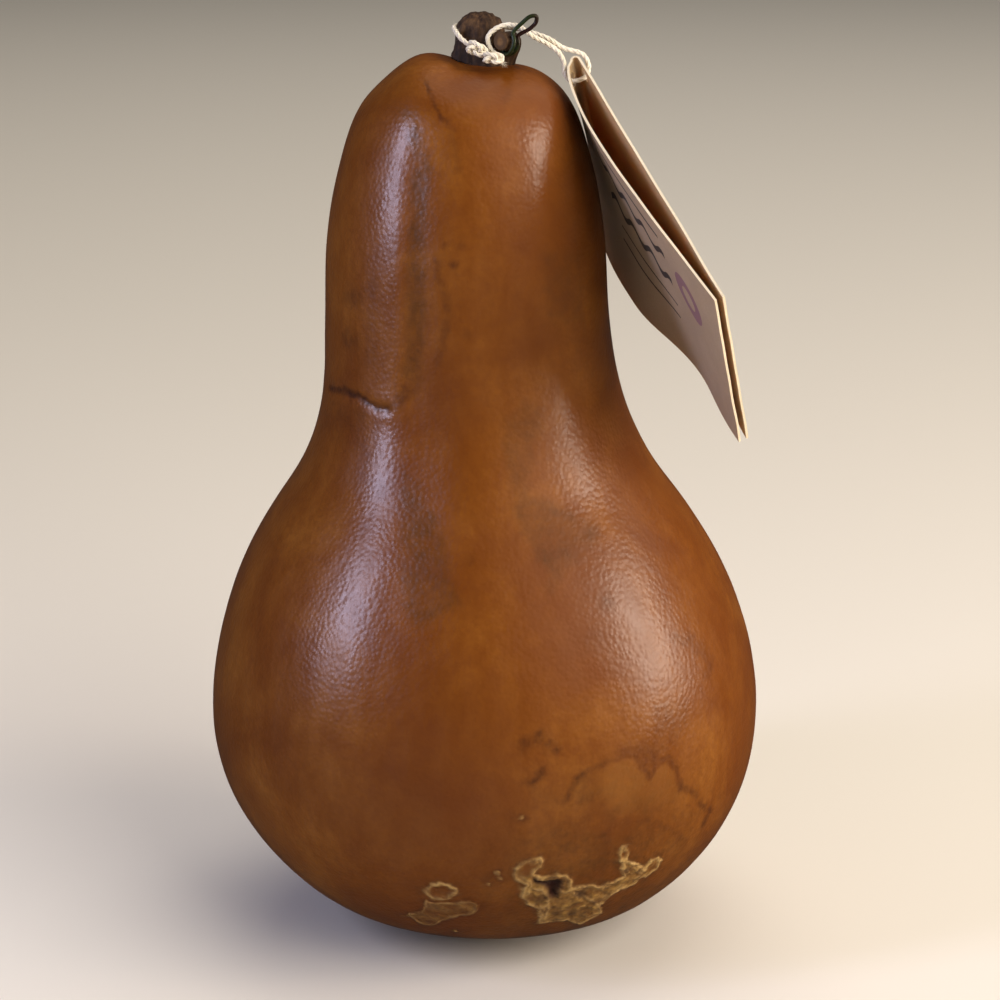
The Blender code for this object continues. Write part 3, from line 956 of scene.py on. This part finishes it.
def print_rules(tree, looks, card, fibres):
    """Plain waved and straight rules and a ring, in two inks, with edges roughened by the card."""
    across = add_node(tree, "ShaderNodeSeparateXYZ", inputs={0: add_node(tree, "ShaderNodeUVMap").outputs[0]})
    along_mm = add_node(
        tree,
        "ShaderNodeMath",
        {"operation": "MULTIPLY_ADD"},
        {0: across.outputs[0], 1: -2.0 * TAG_LENGTH, 2: TAG_LENGTH},
    ).outputs[0]
    across_mm = add_node(
        tree, "ShaderNodeMath", {"operation": "MULTIPLY"}, {0: across.outputs[1], 1: TAG_WIDTH}
    ).outputs[0]
    bleed = add_node(
        tree, "ShaderNodeMath", {"operation": "MULTIPLY_ADD"}, {0: fibres, 1: 0.5, 2: -0.25}
    ).outputs[0]
    colour = card
    for place, half, height, length, start, end in TAG_RULES:
        turn = add_node(
            tree, "ShaderNodeMath", {"operation": "MULTIPLY"}, {0: along_mm, 1: 2 * math.pi / length}
        )
        wave = add_node(tree, "ShaderNodeMath", {"operation": "SINE"}, {0: turn.outputs[0]})
        line = add_node(
            tree, "ShaderNodeMath", {"operation": "MULTIPLY_ADD"}, {0: wave.outputs[0], 1: height, 2: place}
        )
        off = add_node(tree, "ShaderNodeMath", {"operation": "SUBTRACT"}, {0: across_mm, 1: line.outputs[0]})
        off = add_node(tree, "ShaderNodeMath", {"operation": "ABSOLUTE"}, {0: off.outputs[0]})
        off = add_node(tree, "ShaderNodeMath", {"operation": "ADD"}, {0: off.outputs[0], 1: bleed})
        middle = add_node(
            tree, "ShaderNodeMath", {"operation": "SUBTRACT"}, {0: along_mm, 1: (start + end) / 2}
        )
        middle = add_node(tree, "ShaderNodeMath", {"operation": "ABSOLUTE"}, {0: middle.outputs[0]})
        ended = add_node(
            tree, "ShaderNodeMath", {"operation": "LESS_THAN"}, {0: middle.outputs[0], 1: (end - start) / 2}
        )
        ink = add_node(
            tree,
            "ShaderNodeMapRange",
            {"interpolation_type": "SMOOTHSTEP"},
            {
                "Value": off.outputs[0],
                "From Min": half + 0.15,
                "From Max": half - 0.1,
                "To Min": 0,
                "To Max": 0.92,
            },
        )
        share = add_node(
            tree, "ShaderNodeMath", {"operation": "MULTIPLY"}, {0: ink.outputs[0], 1: ended.outputs[0]}
        )
        colour = add_node(
            tree, "ShaderNodeMix", {"data_type": "RGBA"}, {0: share.outputs[0], 6: colour, 7: looks.ink}
        ).outputs[2]
    ring_across, ring_along, radius, half = TAG_RING
    spot = add_node(tree, "ShaderNodeCombineXYZ", inputs={0: along_mm, 1: across_mm})
    reach = add_node(
        tree,
        "ShaderNodeVectorMath",
        {"operation": "DISTANCE"},
        {0: spot.outputs[0], 1: (ring_along, ring_across, 0)},
    )
    off = add_node(tree, "ShaderNodeMath", {"operation": "SUBTRACT"}, {0: reach.outputs["Value"], 1: radius})
    off = add_node(tree, "ShaderNodeMath", {"operation": "ABSOLUTE"}, {0: off.outputs[0]})
    off = add_node(tree, "ShaderNodeMath", {"operation": "ADD"}, {0: off.outputs[0], 1: bleed})
    ink = add_node(
        tree,
        "ShaderNodeMapRange",
        {"interpolation_type": "SMOOTHSTEP"},
        {
            "Value": off.outputs[0],
            "From Min": half + 0.15,
            "From Max": half - 0.1,
            "To Min": 0,
            "To Max": 0.8,
        },
    )
    return add_node(
        tree, "ShaderNodeMix", {"data_type": "RGBA"}, {0: ink.outputs[0], 6: colour, 7: looks.ring_ink}
    ).outputs[2]


def studio_paper(looks):
    """Seamless background paper: plain, pale and matt."""
    material, tree, shader = new_material("studio_paper")
    shader.inputs["Base Color"].default_value = looks.floor
    shader.inputs["Roughness"].default_value = 0.9
    shader.inputs["Specular IOR Level"].default_value = 0.2
    return material


# The pieces.


def from_scars(flat):
    """Distance of each flat point from the nearest of the three scars."""
    scars = (LARGE_SCAR, SCAR_RING, SMALL_SCAR)
    return -np.maximum.reduce([depth_inside(flat, outline) for outline in scars])


def near_a_mark(spots, reach):
    """Whether each point in mm is on the front and within reach of a scar, a speck or a line."""
    flat = spots[:, [0, 2]]
    closest = from_scars(flat)
    for x, z, radius in SCAR_SPECKS:
        closest = np.minimum(closest, np.hypot(flat[:, 0] - x, flat[:, 1] - z) - radius)
    for width, strength, line in LINES:
        closest = np.minimum(closest, line_distance(flat, line) - width)
    return (spots[:, 1] < 0) & (closest < reach)


def near_a_scar(spots, reach):
    """Whether each point in mm is on the front and within reach of a scar."""
    return (spots[:, 1] < 0) & (from_scars(spots[:, [0, 2]]) < reach)


def made_finer(mesh, wanted, reach, cuts):
    """Cuts the faces whose corners are all wanted, and keeps the surface as round as it was."""
    bm = bmesh.new()
    bm.from_mesh(mesh)
    spots = np.array([v.co for v in bm.verts]) / MM
    chosen = wanted(spots, reach)
    bm.verts.index_update()
    edges = [e for e in bm.edges if chosen[e.verts[0].index] and chosen[e.verts[1].index]]
    bmesh.ops.subdivide_edges(
        bm, edges=edges, cuts=cuts, use_grid_fill=True, smooth=1.0, use_smooth_even=True
    )
    bm.to_mesh(mesh)
    bm.free()


def build_rind(looks):
    """The shell: its solid made round and fine, then given its crease, flutes, scars and stains."""
    mesh = subdivided(copy_of_solid("gourd"), 2)
    made_finer(mesh, near_a_mark, 1.6, 2)
    made_finer(mesh, near_a_scar, 0.5, 1)
    spots, normals = read(mesh, "co") / MM, read(mesh, "normal")
    front = spots[:, 1] < 0
    wobble = np.stack([fuzz(spots, 1.7, 1), fuzz(spots, 1.7, 2)], 1) * 0.45
    wobble += np.stack([fuzz(spots, 0.7, 3), fuzz(spots, 0.7, 4)], 1) * 0.22
    flat = spots[:, [0, 2]] + wobble

    # Distances inside the scars, and the rises that they give.
    large = np.where(front, depth_inside(flat, LARGE_SCAR), -9)
    ring = np.where(front, depth_inside(flat, SCAR_RING), -9)
    small = np.where(front, depth_inside(flat, SMALL_SCAR), -9)
    specks = np.full(len(spots), -9.0)
    for x, z, radius in SCAR_SPECKS:
        specks = np.maximum(specks, radius - np.hypot(flat[:, 0] - x, flat[:, 1] - z))
    specks = np.where(front, specks, -9)
    split = np.where(front, depth_inside(flat, SCAR_SPLIT), -9)
    hollow = np.where(front, depth_inside(flat, SCAR_HOLLOW), -9)
    seams = np.full(len(spots), 9.0)
    for seam in SCAR_SEAMS:
        seams = np.minimum(seams, line_distance(flat, seam))
    seams = np.where(large > 0, seams, 9)
    loops = np.zeros(len(spots))
    for x, z, radius in SCAR_LOOPS:
        away = np.hypot(flat[:, 0] - x, flat[:, 1] - z)
        loops = np.maximum(loops, 1 - ease(away, radius * 0.6, radius * 1.2))
    broken = 0.75 + 0.5 * fuzz(spots, 2.4, 21)
    rim = np.maximum.reduce(
        [
            bell(large - 0.35, 0.46) * broken,
            bell(large - 1.35, 0.28) * 0.5 * ease(fuzz(spots, 3.1, 22), 0, 0.25),
            bell(ring - 0.45, 0.5) * broken,
            bell(small - 0.3, 0.3) * 0.5 * broken,
            ease(specks, -0.2, 0.3) * 0.6,
            bell(seams, 0.42) * 0.75 * broken,
        ]
    )
    scar = np.maximum.reduce([large, ring, small, specks])
    lumps = fuzz(spots, 1.9, 5) + 0.3 * fuzz(spots, 0.8, 6)
    crust = ease(scar, -0.1, 0.35) * (1 - 0.8 * loops) * np.clip(0.72 + 0.55 * lumps, 0.3, 1)
    crust *= np.where(small > large, 0.6, 0.95)
    rise = 0.32 * rim * ease(scar, -0.6, 0.5)
    rise += ease(large, 0, 1.2) * (0.06 + 0.2 * lumps) * (1 - 0.7 * loops)
    rise += ease(small, 0, 1.0) * (0.03 + 0.1 * lumps)
    rise -= 1.0 * ease(split, -0.7, 0.9) + 0.5 * ease(hollow, -0.6, 0.8) + 0.25 * ease(ring, 1.2, 2.2)

    # The crease, the flutes of the neck, and the slow unevenness of anything grown.
    crease = line_distance(spots[:, [0, 2]], CREASE)
    rise -= np.where(front, CREASE_DEPTH * bell(crease, 0.9) - 0.06 * bell(crease - 2.0, 1.2), 0)
    for x, low, high, width, height in FLUTES:
        length = ease(spots[:, 2], low - 6, low + 6) * (1 - ease(spots[:, 2], high - 8, high + 8))
        middle = x + 0.8 * fuzz(spots * [0, 0, 1], 14, 7)
        rise += np.where(front, height * bell(spots[:, 0] - middle, width) * length, 0)
    clear_of_foot = ease(spots[:, 2], 3, 14)
    rise += clear_of_foot * (0.22 * fuzz(spots, 24, 8) + 0.07 * fuzz(spots, 8, 9))
    # Folds that gather towards the stem's seat.
    seat = spots[:, :2] - STEM_SEAT
    reach = np.hypot(seat[:, 0], seat[:, 1])
    turn = np.arctan2(seat[:, 1], seat[:, 0])
    gathered = bell(reach - 10.5, 4) * ease(spots[:, 2], 185, 194)
    rise += 0.16 * gathered * np.sin(7 * turn + 0.6 * np.sin(3 * turn)) * (0.6 + 0.4 * np.cos(2 * turn))
    # The blossom end's button, underneath, sunk so that the gourd still stands on its flat spot.
    foot = np.hypot(spots[:, 0], spots[:, 1])
    under = 1 - ease(spots[:, 2], 0.4, 1.5)
    moved = spots + normals * rise[:, None]
    moved[:, 2] += under * (0.5 * bell(foot - BUTTON_RADIUS, 0.8) + 0.35 * bell(foot, 1.0))
    moved[:, 2] = np.maximum(moved[:, 2], 0)
    mesh.vertices.foreach_set("co", (moved * MM).astype(np.float32).ravel())

    # A ring of painted shadow on the crown round the stem's foot.
    stain = 0.5 * bell(reach - 8.2, 1.6) * ease(spots[:, 2], 185, 194)
    stain = np.maximum(stain, under * (0.7 * bell(foot - BUTTON_RADIUS, 1.0) + 0.5 * bell(foot, 1.2)))
    for x, z, radius, strength in SPOTS:
        away = np.hypot(flat[:, 0] - x, flat[:, 1] - z)
        shown = strength * (1 - ease(away, radius * 0.5, radius * 1.5))
        stain = np.maximum(stain, np.where(front, shown, 0))
    patchy = 0.8 + 0.6 * fuzz(spots, 3.5, 23)
    for width, strength, line in LINES:
        away = line_distance(flat, line)
        shown = strength * patchy * (1 - ease(away, width * 0.2, width * 1.8))
        stain = np.maximum(stain, np.where(front, shown, 0))
    stain = np.maximum(stain, 0.4 * bell(scar + 0.3, 0.4) * (scar < 0.2))
    dull = np.zeros(len(spots))
    # The last dull patch paints shade down the neck's groove.
    for patches, amount in ((DARK_PATCHES, stain), (DULL_AND_SHADED_PATCHES, dull)):
        for strength, outline in patches:
            shown = strength * patchy * ease(depth_inside(flat, outline), -1.0, 1.4)
            np.maximum(amount, np.where(front, shown, 0), out=amount)
    # Round the large scar the rind is painted duller and darker, partly as shade.
    x, z, near, far, strength = DULLED_AND_SHADED_ROUND_SCAR
    away = np.hypot(flat[:, 0] - x, flat[:, 1] - z)
    dull = np.maximum(dull, np.where(front, strength * patchy * (1 - ease(away, near, far)), 0))
    damp = 0.4 * ease(depth_inside(flat, DRIED_DAMP), -0.4, 0.6) * ease(flat[:, 1], 42, 50)
    damp *= 0.9 + 0.3 * fuzz(spots, 3, 24)
    store(mesh, "crust", crust)
    store(mesh, "rim", np.clip(rim, 0, 1))
    store(mesh, "split", np.maximum(0.95 * ease(split, -0.9, 0.4), 0.6 * ease(hollow, -0.4, 0.8)))
    store(mesh, "damp", np.where(front, damp, 0))
    store(mesh, "dull", dull)
    store(mesh, "stain", stain)
    rind = add_piece("rind", mesh, [rubbed_rind(looks)])
    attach(rind, "root")
    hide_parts("gourd")
    return rind


def build_stem(looks):
    """The stem stub: its solid remeshed, furrowed along its fibres and hollowed where it broke."""
    piece = temporary(copy_of_solid("stem"))
    remesh = piece.modifiers.new("skin", "REMESH")
    remesh.mode = "VOXEL"
    remesh.voxel_size = 0.28 * MM
    smooth = piece.modifiers.new("soften", "SMOOTH")
    smooth.factor = 0.5
    smooth.iterations = 6
    mesh = shape_of(piece)
    spots, normals = read(mesh, "co") / MM, read(mesh, "normal")
    tip = np.array(ARM_TIP)
    axis = tip - np.array(ARM_BEFORE_TIP)
    axis /= np.linalg.norm(axis)
    behind = (tip - spots) @ axis
    off_axis = np.linalg.norm(tip - spots - behind[:, None] * axis, axis=1)
    arm = (1 - ease(off_axis, 2.6, 3.4)) * (1 - ease(behind, 4.0, 6.5))
    cut = arm * (1 - ease(behind, 0.15, 0.45))

    turn = np.arctan2(spots[:, 1] - STEM_MIDDLE[1], spots[:, 0] - STEM_MIDDLE[0])
    round_stem = np.stack([np.cos(turn) * 3.2, np.sin(turn) * 3.2, spots[:, 2] * 0.16], 1)
    furrows = np.array([noise.noise(Vector(p)) for p in round_stem.tolist()])
    round_stem[:, :2] *= 2.6
    furrows = furrows + 0.5 * np.array([noise.noise(Vector(p)) for p in round_stem.tolist()])
    top = ease(spots[:, 2], 207.5, 210)
    broken = 0.3 * fuzz(spots, 1.5, 11) + 0.15 * fuzz(spots, 0.7, 12)
    rise = (1 - arm) * (0.24 * furrows * (1 - top) + top * broken)
    rise += 0.1 * fuzz(spots, 0.8, 13) + 0.16 * arm * (1 - cut) * fuzz(spots, 0.9, 14)
    pit = np.linalg.norm((spots - STEM_PIT) / [1.3, 1.6, 1.0], axis=1)
    rise -= 0.7 * bell(pit, 1.0)
    pith = cut * (1 - ease(off_axis, 0.5, 1.1))
    rise -= 0.35 * cut * bell(off_axis, 0.5)
    rise *= ease(spots[:, 2], 198.6, 200.2)
    # The tied string has bitten into the stem.
    path = np.array(smooth_through(string_route(), 6))
    from_string = np.full(len(spots), 1e9)
    for point in path:
        from_string = np.minimum(from_string, np.linalg.norm(spots - point, axis=1))
    rise = np.minimum(rise, from_string - STRING_DIAMETER * 0.62)
    moved = spots + normals * rise[:, None]
    # The foot has grown into the crown, so that no light shows under it.
    moved[:, 2] -= 1.0 * (1 - ease(spots[:, 2], 199.2, 202.2))
    mesh.vertices.foreach_set("co", (moved * MM).astype(np.float32).ravel())
    worn = np.linalg.norm((spots - STEM_WORN) / [1.0, 1.0, 0.8], axis=1)
    store(mesh, "pith", np.clip(0.75 * pith + 0.3 * cut + 0.4 * bell(worn, 0.9), 0, 1))
    # A painted shadow round the rim of the cut end; the pit in the side is painted near black as well.
    store(mesh, "hollow", np.clip(0.85 * bell(pit, 1.1) + 0.5 * cut * bell(off_axis - 1.9, 0.25), 0, 1))
    stem = add_piece("stem_stub", mesh, [weathered_stem(looks)])
    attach(stem, "root")
    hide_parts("stem")
    return stem


def build_wire(looks):
    """The wire tie, hooked twice under the arm and drawn out into one long loop."""
    tip = Vector(ARM_TIP)
    axis = (tip - Vector(ARM_BEFORE_TIP)).normalized()
    right = Vector((0, 0, 1)).cross(axis).normalized()
    up = axis.cross(right)
    route = []
    for turns in (WIRE_FRONT_HOOK, WIRE_BACK_HOOK):
        for degrees, back in turns:
            turn = math.radians(degrees)
            reach = (right * math.cos(turn) + up * math.sin(turn)) * WIRE_HOOK_RADIUS
            route.append(tip - axis * back + reach)
        if turns is WIRE_FRONT_HOOK:
            route += [Vector(point) for point in WIRE_LOOP]
    points = evenly(smooth_through(route, 24), 0.25)
    mesh = rods([[(point, 1.0) for point in points]], WIRE_DIAMETER / 2, 4)
    spots = read(mesh, "co") / MM
    path = np.array(points)
    nearest = np.linalg.norm(spots[:, None] - path[None], axis=2).argmin(1)
    store(mesh, "along", nearest / (len(points) - 1))
    wire = add_piece("wire", mesh, [coated_wire(looks)])
    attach(wire, "root")
    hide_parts("wire_tie")
    return wire


def string_route():
    inwards = (TAG_ALONG + TAG_ACROSS).normalized()
    route = [Vector(point) for point in STRING_ROUTE]
    route += [TAG_CORNER + inwards * depth + TAG_OUT * lift for depth, lift in STRING_THROUGH_TAG]
    route += [Vector(point) for point in STRING_BACK]
    return route


def plies(points, pitch, count, lay_radius):
    """Lines of plies laid round a path."""
    frames = frames_along(points)
    lines = []
    for k in range(count):
        line, walked = [], 0.0
        for i, (point, (tangent, side, rise)) in enumerate(zip(points, frames)):
            if i:
                walked += (point - points[i - 1]).length
            turn = 2 * math.pi * (k / count + walked / pitch)
            line.append((point + (side * math.cos(turn) + rise * math.sin(turn)) * lay_radius, 1.0))
        lines.append(line)
    return lines


def stray_fibres(points, count, length, seed):
    """Loose fibres that leave the string at a slant and curl."""
    chance = random.Random(seed)
    lines = []
    for _ in range(count):
        i = chance.randrange(3, len(points) - 3)
        along = (points[i + 1] - points[i - 1]).normalized()
        away = Vector([chance.gauss(0, 1) for _ in range(3)])
        away = (away - along * away.dot(along)).normalized()
        curl = Vector([chance.gauss(0, 1) for _ in range(3)]).normalized()
        reach = length * chance.uniform(0.5, 1.2)
        start = points[i] + away * 0.42
        line = []
        for step in range(5):
            share = step / 4
            sweep = along * (1 - 0.4 * share) + away * (0.35 + 0.3 * share) + curl * (0.5 * share)
            line.append((start + sweep * reach * share * 0.75, 1.0 - 0.7 * share))
        lines.append(line)
    return lines


def frayed_end(point, direction, seed, count=14, length=2.4):
    """The tuft where the string was snipped."""
    chance = random.Random(seed)
    lines = []
    for _ in range(count):
        spread = Vector([chance.gauss(0, 1) for _ in range(3)])
        spread = (spread - direction * spread.dot(direction)).normalized() * chance.uniform(0, 0.4)
        reach = length * chance.uniform(0.45, 1.0)
        line = []
        for step in range(4):
            share = step / 3
            fanned = point + spread * (0.7 + 2.0 * share * share)
            line.append((fanned + direction * (reach * share - 0.5), 1 - 0.6 * share))
        lines.append(line)
    return lines


def build_string(looks):
    """The string in three plies, with stray fibres and snipped ends, and the knots where it is tied."""
    points = evenly(smooth_through(string_route(), 24), 0.42)
    cotton = spun_cotton(looks)
    pitch = looks.ply_pitch / MM
    body = rods(plies(points, pitch, 3, STRING_DIAMETER * 0.21), STRING_DIAMETER * 0.31, 2)
    ends = frayed_end(points[0], (points[0] - points[2]).normalized(), 3)
    ends += frayed_end(points[-1], (points[-1] - points[-3]).normalized(), 4)
    fibres = rods(stray_fibres(points, 170, 1.1, 5) + ends, 0.03, 0)
    string = add_piece("string_strand", joined([body, fibres]), [cotton])
    knot_lines = []
    for middle, size, lean, spin in STRING_KNOTS:
        turned = Matrix.Rotation(math.radians(lean), 3, "Y") @ Matrix.Rotation(math.radians(spin), 3, "X")
        loop = []
        for i in range(72):
            t = 2 * math.pi * i / 71
            wide = (2 + math.cos(3 * t)) / 3
            x, z = wide * math.cos(2 * t), wide * math.sin(2 * t)
            spot = Vector((x * size[0], math.sin(3 * t) * size[1], z * size[2]))
            loop.append(Vector(middle) + turned @ spot)
        knot_lines += plies(evenly(loop, 0.3), pitch, 3, STRING_DIAMETER * 0.2)
    knot = add_piece("string_knot", rods(knot_lines, STRING_DIAMETER * 0.25, 2), [cotton])
    for piece in (string, knot):
        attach(piece, "root")
    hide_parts("string")
    return string


def tag_point(share, side, across):
    """A point of the folded card: share of the length from the fold, side -1 by the gourd or 1 away."""
    lift = TAG_FOLD_RADIUS * math.sin(side * math.pi / 2)
    if share > 0:
        reach = TAG_FOLD_RADIUS + (TAG_LENGTH - TAG_FOLD_RADIUS) * share
    else:
        reach = TAG_FOLD_RADIUS * (1 - math.cos(side * math.pi / 2))
    if side < 0:
        bow = TAG_BOW_TOP * (1 - across) ** 2 + TAG_BOW_FOOT * across**3
        lift -= bow * math.sin(math.pi * share**TAG_BOW_SKEW)
    swing = min(max((share - TAG_SWING_START) / (1 - TAG_SWING_START), 0), 1)
    swing = swing * swing * (3 - 2 * swing)
    lift += TAG_SWING * across**2 * math.sin(math.pi * swing)
    return TAG_CORNER + TAG_ALONG * reach + TAG_ACROSS * (TAG_WIDTH * across) + TAG_OUT * lift


def build_tag(looks):
    """One strip of card, folded on a short side, punched for the string and a little curled."""
    bm = bmesh.new()
    bm.loops.layers.uv.new("strip")
    bmesh.ops.create_grid(bm, x_segments=TAG_STRIP_STEPS, y_segments=40, size=0.5, calc_uvs=True)
    for vert in bm.verts:
        along, across = vert.co.x, vert.co.y + 0.5
        if abs(along) <= TAG_FOLD_SHARE:
            share, side = 0.0, along / TAG_FOLD_SHARE
        else:
            share, side = (abs(along) - TAG_FOLD_SHARE) / (0.5 - TAG_FOLD_SHARE), math.copysign(1, along)
        point = tag_point(share, side, across)
        curl = 0.25 * noise.noise(Vector((share * 5, across * 4, side * 3))) * min(1, share * 6)
        vert.co = (point + TAG_OUT * curl) * MM
    bmesh.ops.recalc_face_normals(bm, faces=bm.faces)
    # The printed side is the outer one once the strip is folded.
    facing = 0
    for face in bm.faces:
        middle = face.calc_center_median() / MM
        facing += face.normal.dot(TAG_OUT) * (middle - TAG_CORNER).dot(TAG_OUT)
    if facing < 0:
        bmesh.ops.reverse_faces(bm, faces=bm.faces)
    mesh = bpy.data.meshes.new("tag_strip")
    bm.to_mesh(mesh)
    bm.free()
    printed = uncoated_card("printed_card", looks, printed=True)
    plain = uncoated_card("plain_card", looks)
    edge = uncoated_card("card_edge", looks, edge=True)
    holder = temporary(mesh)
    for material in (printed, plain, edge):
        mesh.materials.append(material)
    wall = holder.modifiers.new("card", "SOLIDIFY")
    wall.thickness = looks.thickness
    wall.offset = 0
    wall.material_offset = 1
    wall.material_offset_rim = 2
    punch = temporary(bpy.data.meshes.new("punch"))
    bm = bmesh.new()
    hole = TAG_CORNER + (TAG_ALONG + TAG_ACROSS) * TAG_HOLE_INSET
    bmesh.ops.create_cone(
        bm,
        cap_ends=True,
        segments=40,
        radius1=TAG_HOLE_RADIUS * MM,
        radius2=TAG_HOLE_RADIUS * MM,
        depth=20 * MM,
        matrix=Matrix.Translation(hole * MM) @ TAG_OUT.to_track_quat("Z", "Y").to_matrix().to_4x4(),
    )
    bm.to_mesh(punch.data)
    bm.free()
    cut = holder.modifiers.new("hole", "BOOLEAN")
    cut.operation = "DIFFERENCE"
    cut.solver = "EXACT"
    cut.object = punch
    shape = shape_of(holder)
    bpy.data.objects.remove(punch)
    tag = add_piece("card_tag", shape, [printed, plain, edge])
    shape.set_sharp_from_angle(angle=math.radians(50))
    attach(tag, "root")
    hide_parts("tag")
    return tag


# Camera, lights and floor.

# The photograph's view: what the camera looks at, how far off it stands, and how far down it looks.
CAMERA_TARGET = Vector((2.1, 0, 100)) * MM
CAMERA_DISTANCE = 620 * MM
CAMERA_PITCH = math.radians(15.7)
CAMERA_LENS = 97.2
CAMERA_SENSOR = 36.0

# Each lamp: direction it stands in from the gourd's middle, how far off, and its width and height.
WINDOW = (Vector((-0.80, -0.42, 0.42)), 0.58, 0.10, 0.34)
LAMP = (Vector((0.95, -0.18, 0.26)), 0.9, 0.36, 0.50)
FRONT = (Vector((0.62, -0.62, 0.50)), 1.5, 1.2, 1.0)
TOP = (Vector((0.12, 0.40, 0.91)), 2.6, 2.4, 2.4)
CEILING = (Vector((0.5, 0.1, 0.86)), 1.3, 2.0, 2.0)
LAMPS_AIM = Vector((-2, 0, 105)) * MM


def add_lamp(name, place, power, colour):
    direction, distance, width, height = place
    data = bpy.data.lights.new(name, "AREA")
    data.shape = "RECTANGLE"
    data.size = width
    data.size_y = height
    data.energy = power
    data.color = colour[:3]
    lamp = bpy.data.objects.new(name, data)
    lamp.location = LAMPS_AIM + direction.normalized() * distance
    lamp.rotation_euler = (-direction).to_track_quat("-Z", "Y").to_euler()
    bpy.context.scene.collection.objects.link(lamp)
    return lamp


def build_stage(looks):
    """The pale floor, the lamps and the camera."""
    scene = bpy.context.scene
    bm = bmesh.new()
    bmesh.ops.create_grid(bm, x_segments=1, y_segments=1, size=5.0)
    mesh = bpy.data.meshes.new("floor")
    bm.to_mesh(mesh)
    bm.free()
    floor = add_piece("floor", mesh, [studio_paper(looks)])
    floor.visible_glossy = False
    add_lamp("window_light", WINDOW, looks.window_power, looks.window)
    add_lamp("warm_lamp", LAMP, looks.lamp_power, looks.lamp)
    # The front and top lights only even out the shade, so that they draw no highlights of their own.
    add_lamp("front_light", FRONT, looks.front_power, linear("FFF6EA")).visible_glossy = False
    add_lamp("top_light", TOP, looks.top_power, linear("FFF6EA")).visible_glossy = False
    # A wide dim ceiling on the right, which gives the wax its soft haze.
    add_lamp("pale_ceiling", CEILING, looks.ceiling_power, linear("FFEEDC"))
    world = bpy.data.worlds.new("studio")
    world.use_nodes = True
    background = world.node_tree.nodes["Background"]
    background.inputs["Color"].default_value = linear("F2EFEA")
    # Reflections see a dimmer room than the shade does, as if the studio walls were dark.
    rays = add_node(world.node_tree, "ShaderNodeLightPath")
    room = add_node(
        world.node_tree,
        "ShaderNodeMapRange",
        inputs={"Value": rays.outputs["Is Glossy Ray"], "To Min": 0.1, "To Max": 0.04},
    )
    world.node_tree.links.new(room.outputs[0], background.inputs["Strength"])
    scene.world = world
    data = bpy.data.cameras.new("camera")
    data.lens = CAMERA_LENS
    data.sensor_width = CAMERA_SENSOR
    data.clip_start = 0.01
    camera = bpy.data.objects.new("camera", data)
    back = Vector((0, -math.cos(CAMERA_PITCH), math.sin(CAMERA_PITCH)))
    camera.location = CAMERA_TARGET + back * CAMERA_DISTANCE
    camera.rotation_euler = (math.pi / 2 - CAMERA_PITCH, 0, 0)
    scene.collection.objects.link(camera)
    scene.camera = camera
    scene.view_settings.view_transform = "Standard"


# Operators and the panel.


class GOURD_OT_stage(bpy.types.Operator):
    """Add the floor, the lamps and the camera"""

    bl_idname = "gourd.stage"
    bl_label = "Stage"

    def execute(self, context):
        build_stage(context.scene.dried_gourd.stage)
        return {"FINISHED"}


class GOURD_OT_string(bpy.types.Operator):
    """Add the cotton string and its knots"""

    bl_idname = "gourd.string"
    bl_label = "String"

    def execute(self, context):
        build_string(context.scene.dried_gourd.string)
        return {"FINISHED"}


class GOURD_OT_rind(bpy.types.Operator):
    """Add the gourd's rind with its scars and stains"""

    bl_idname = "gourd.rind"
    bl_label = "Rind"

    def execute(self, context):
        build_rind(context.scene.dried_gourd.rind)
        return {"FINISHED"}


class GOURD_OT_stem(bpy.types.Operator):
    """Add the cut stem stub"""

    bl_idname = "gourd.stem"
    bl_label = "Stem"

    def execute(self, context):
        build_stem(context.scene.dried_gourd.stem)
        return {"FINISHED"}


class GOURD_OT_wire(bpy.types.Operator):
    """Add the coated wire tie"""

    bl_idname = "gourd.wire"
    bl_label = "Wire Tie"

    def execute(self, context):
        build_wire(context.scene.dried_gourd.wire)
        return {"FINISHED"}


class GOURD_OT_tag(bpy.types.Operator):
    """Add the folded card tag"""

    bl_idname = "gourd.tag"
    bl_label = "Card Tag"

    def execute(self, context):
        build_tag(context.scene.dried_gourd.tag)
        return {"FINISHED"}


class GOURD_PT_panel(bpy.types.Panel):
    """Buttons and settings for the gourd's pieces"""

    bl_idname = "GOURD_PT_panel"
    bl_label = "Dried Pear Gourd"
    bl_space_type = "VIEW_3D"
    bl_region_type = "UI"
    bl_category = "Gourd"

    def draw(self, context):
        for operator, group in PIECES:
            box = self.layout.box()
            box.operator(operator.bl_idname)
            looks = getattr(context.scene.dried_gourd, group)
            for name in looks.__annotations__:
                box.prop(looks, name)


# Each operator with the name of its settings, in the order they run.
PIECES = [
    (GOURD_OT_stage, "stage"),
    (GOURD_OT_string, "string"),
    (GOURD_OT_rind, "rind"),
    (GOURD_OT_stem, "stem"),
    (GOURD_OT_wire, "wire"),
    (GOURD_OT_tag, "tag"),
]
CLASSES = [
    RindSettings,
    StemSettings,
    WireSettings,
    StringSettings,
    TagSettings,
    StageSettings,
    GourdSettings,
    *[operator for operator, group in PIECES],
    GOURD_PT_panel,
]


def register():
    for cls in CLASSES:
        bpy.utils.register_class(cls)
    bpy.types.Scene.dried_gourd = PointerProperty(type=GourdSettings)


def unregister():
    del bpy.types.Scene.dried_gourd
    for cls in reversed(CLASSES):
        bpy.utils.unregister_class(cls)


def main():
    register()
    bpy.ops.gourd.stage()
    bpy.ops.gourd.string()
    bpy.ops.gourd.rind()
    bpy.ops.gourd.stem()
    bpy.ops.gourd.wire()
    bpy.ops.gourd.tag()
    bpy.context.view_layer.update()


if __name__ == "__main__":
    main()
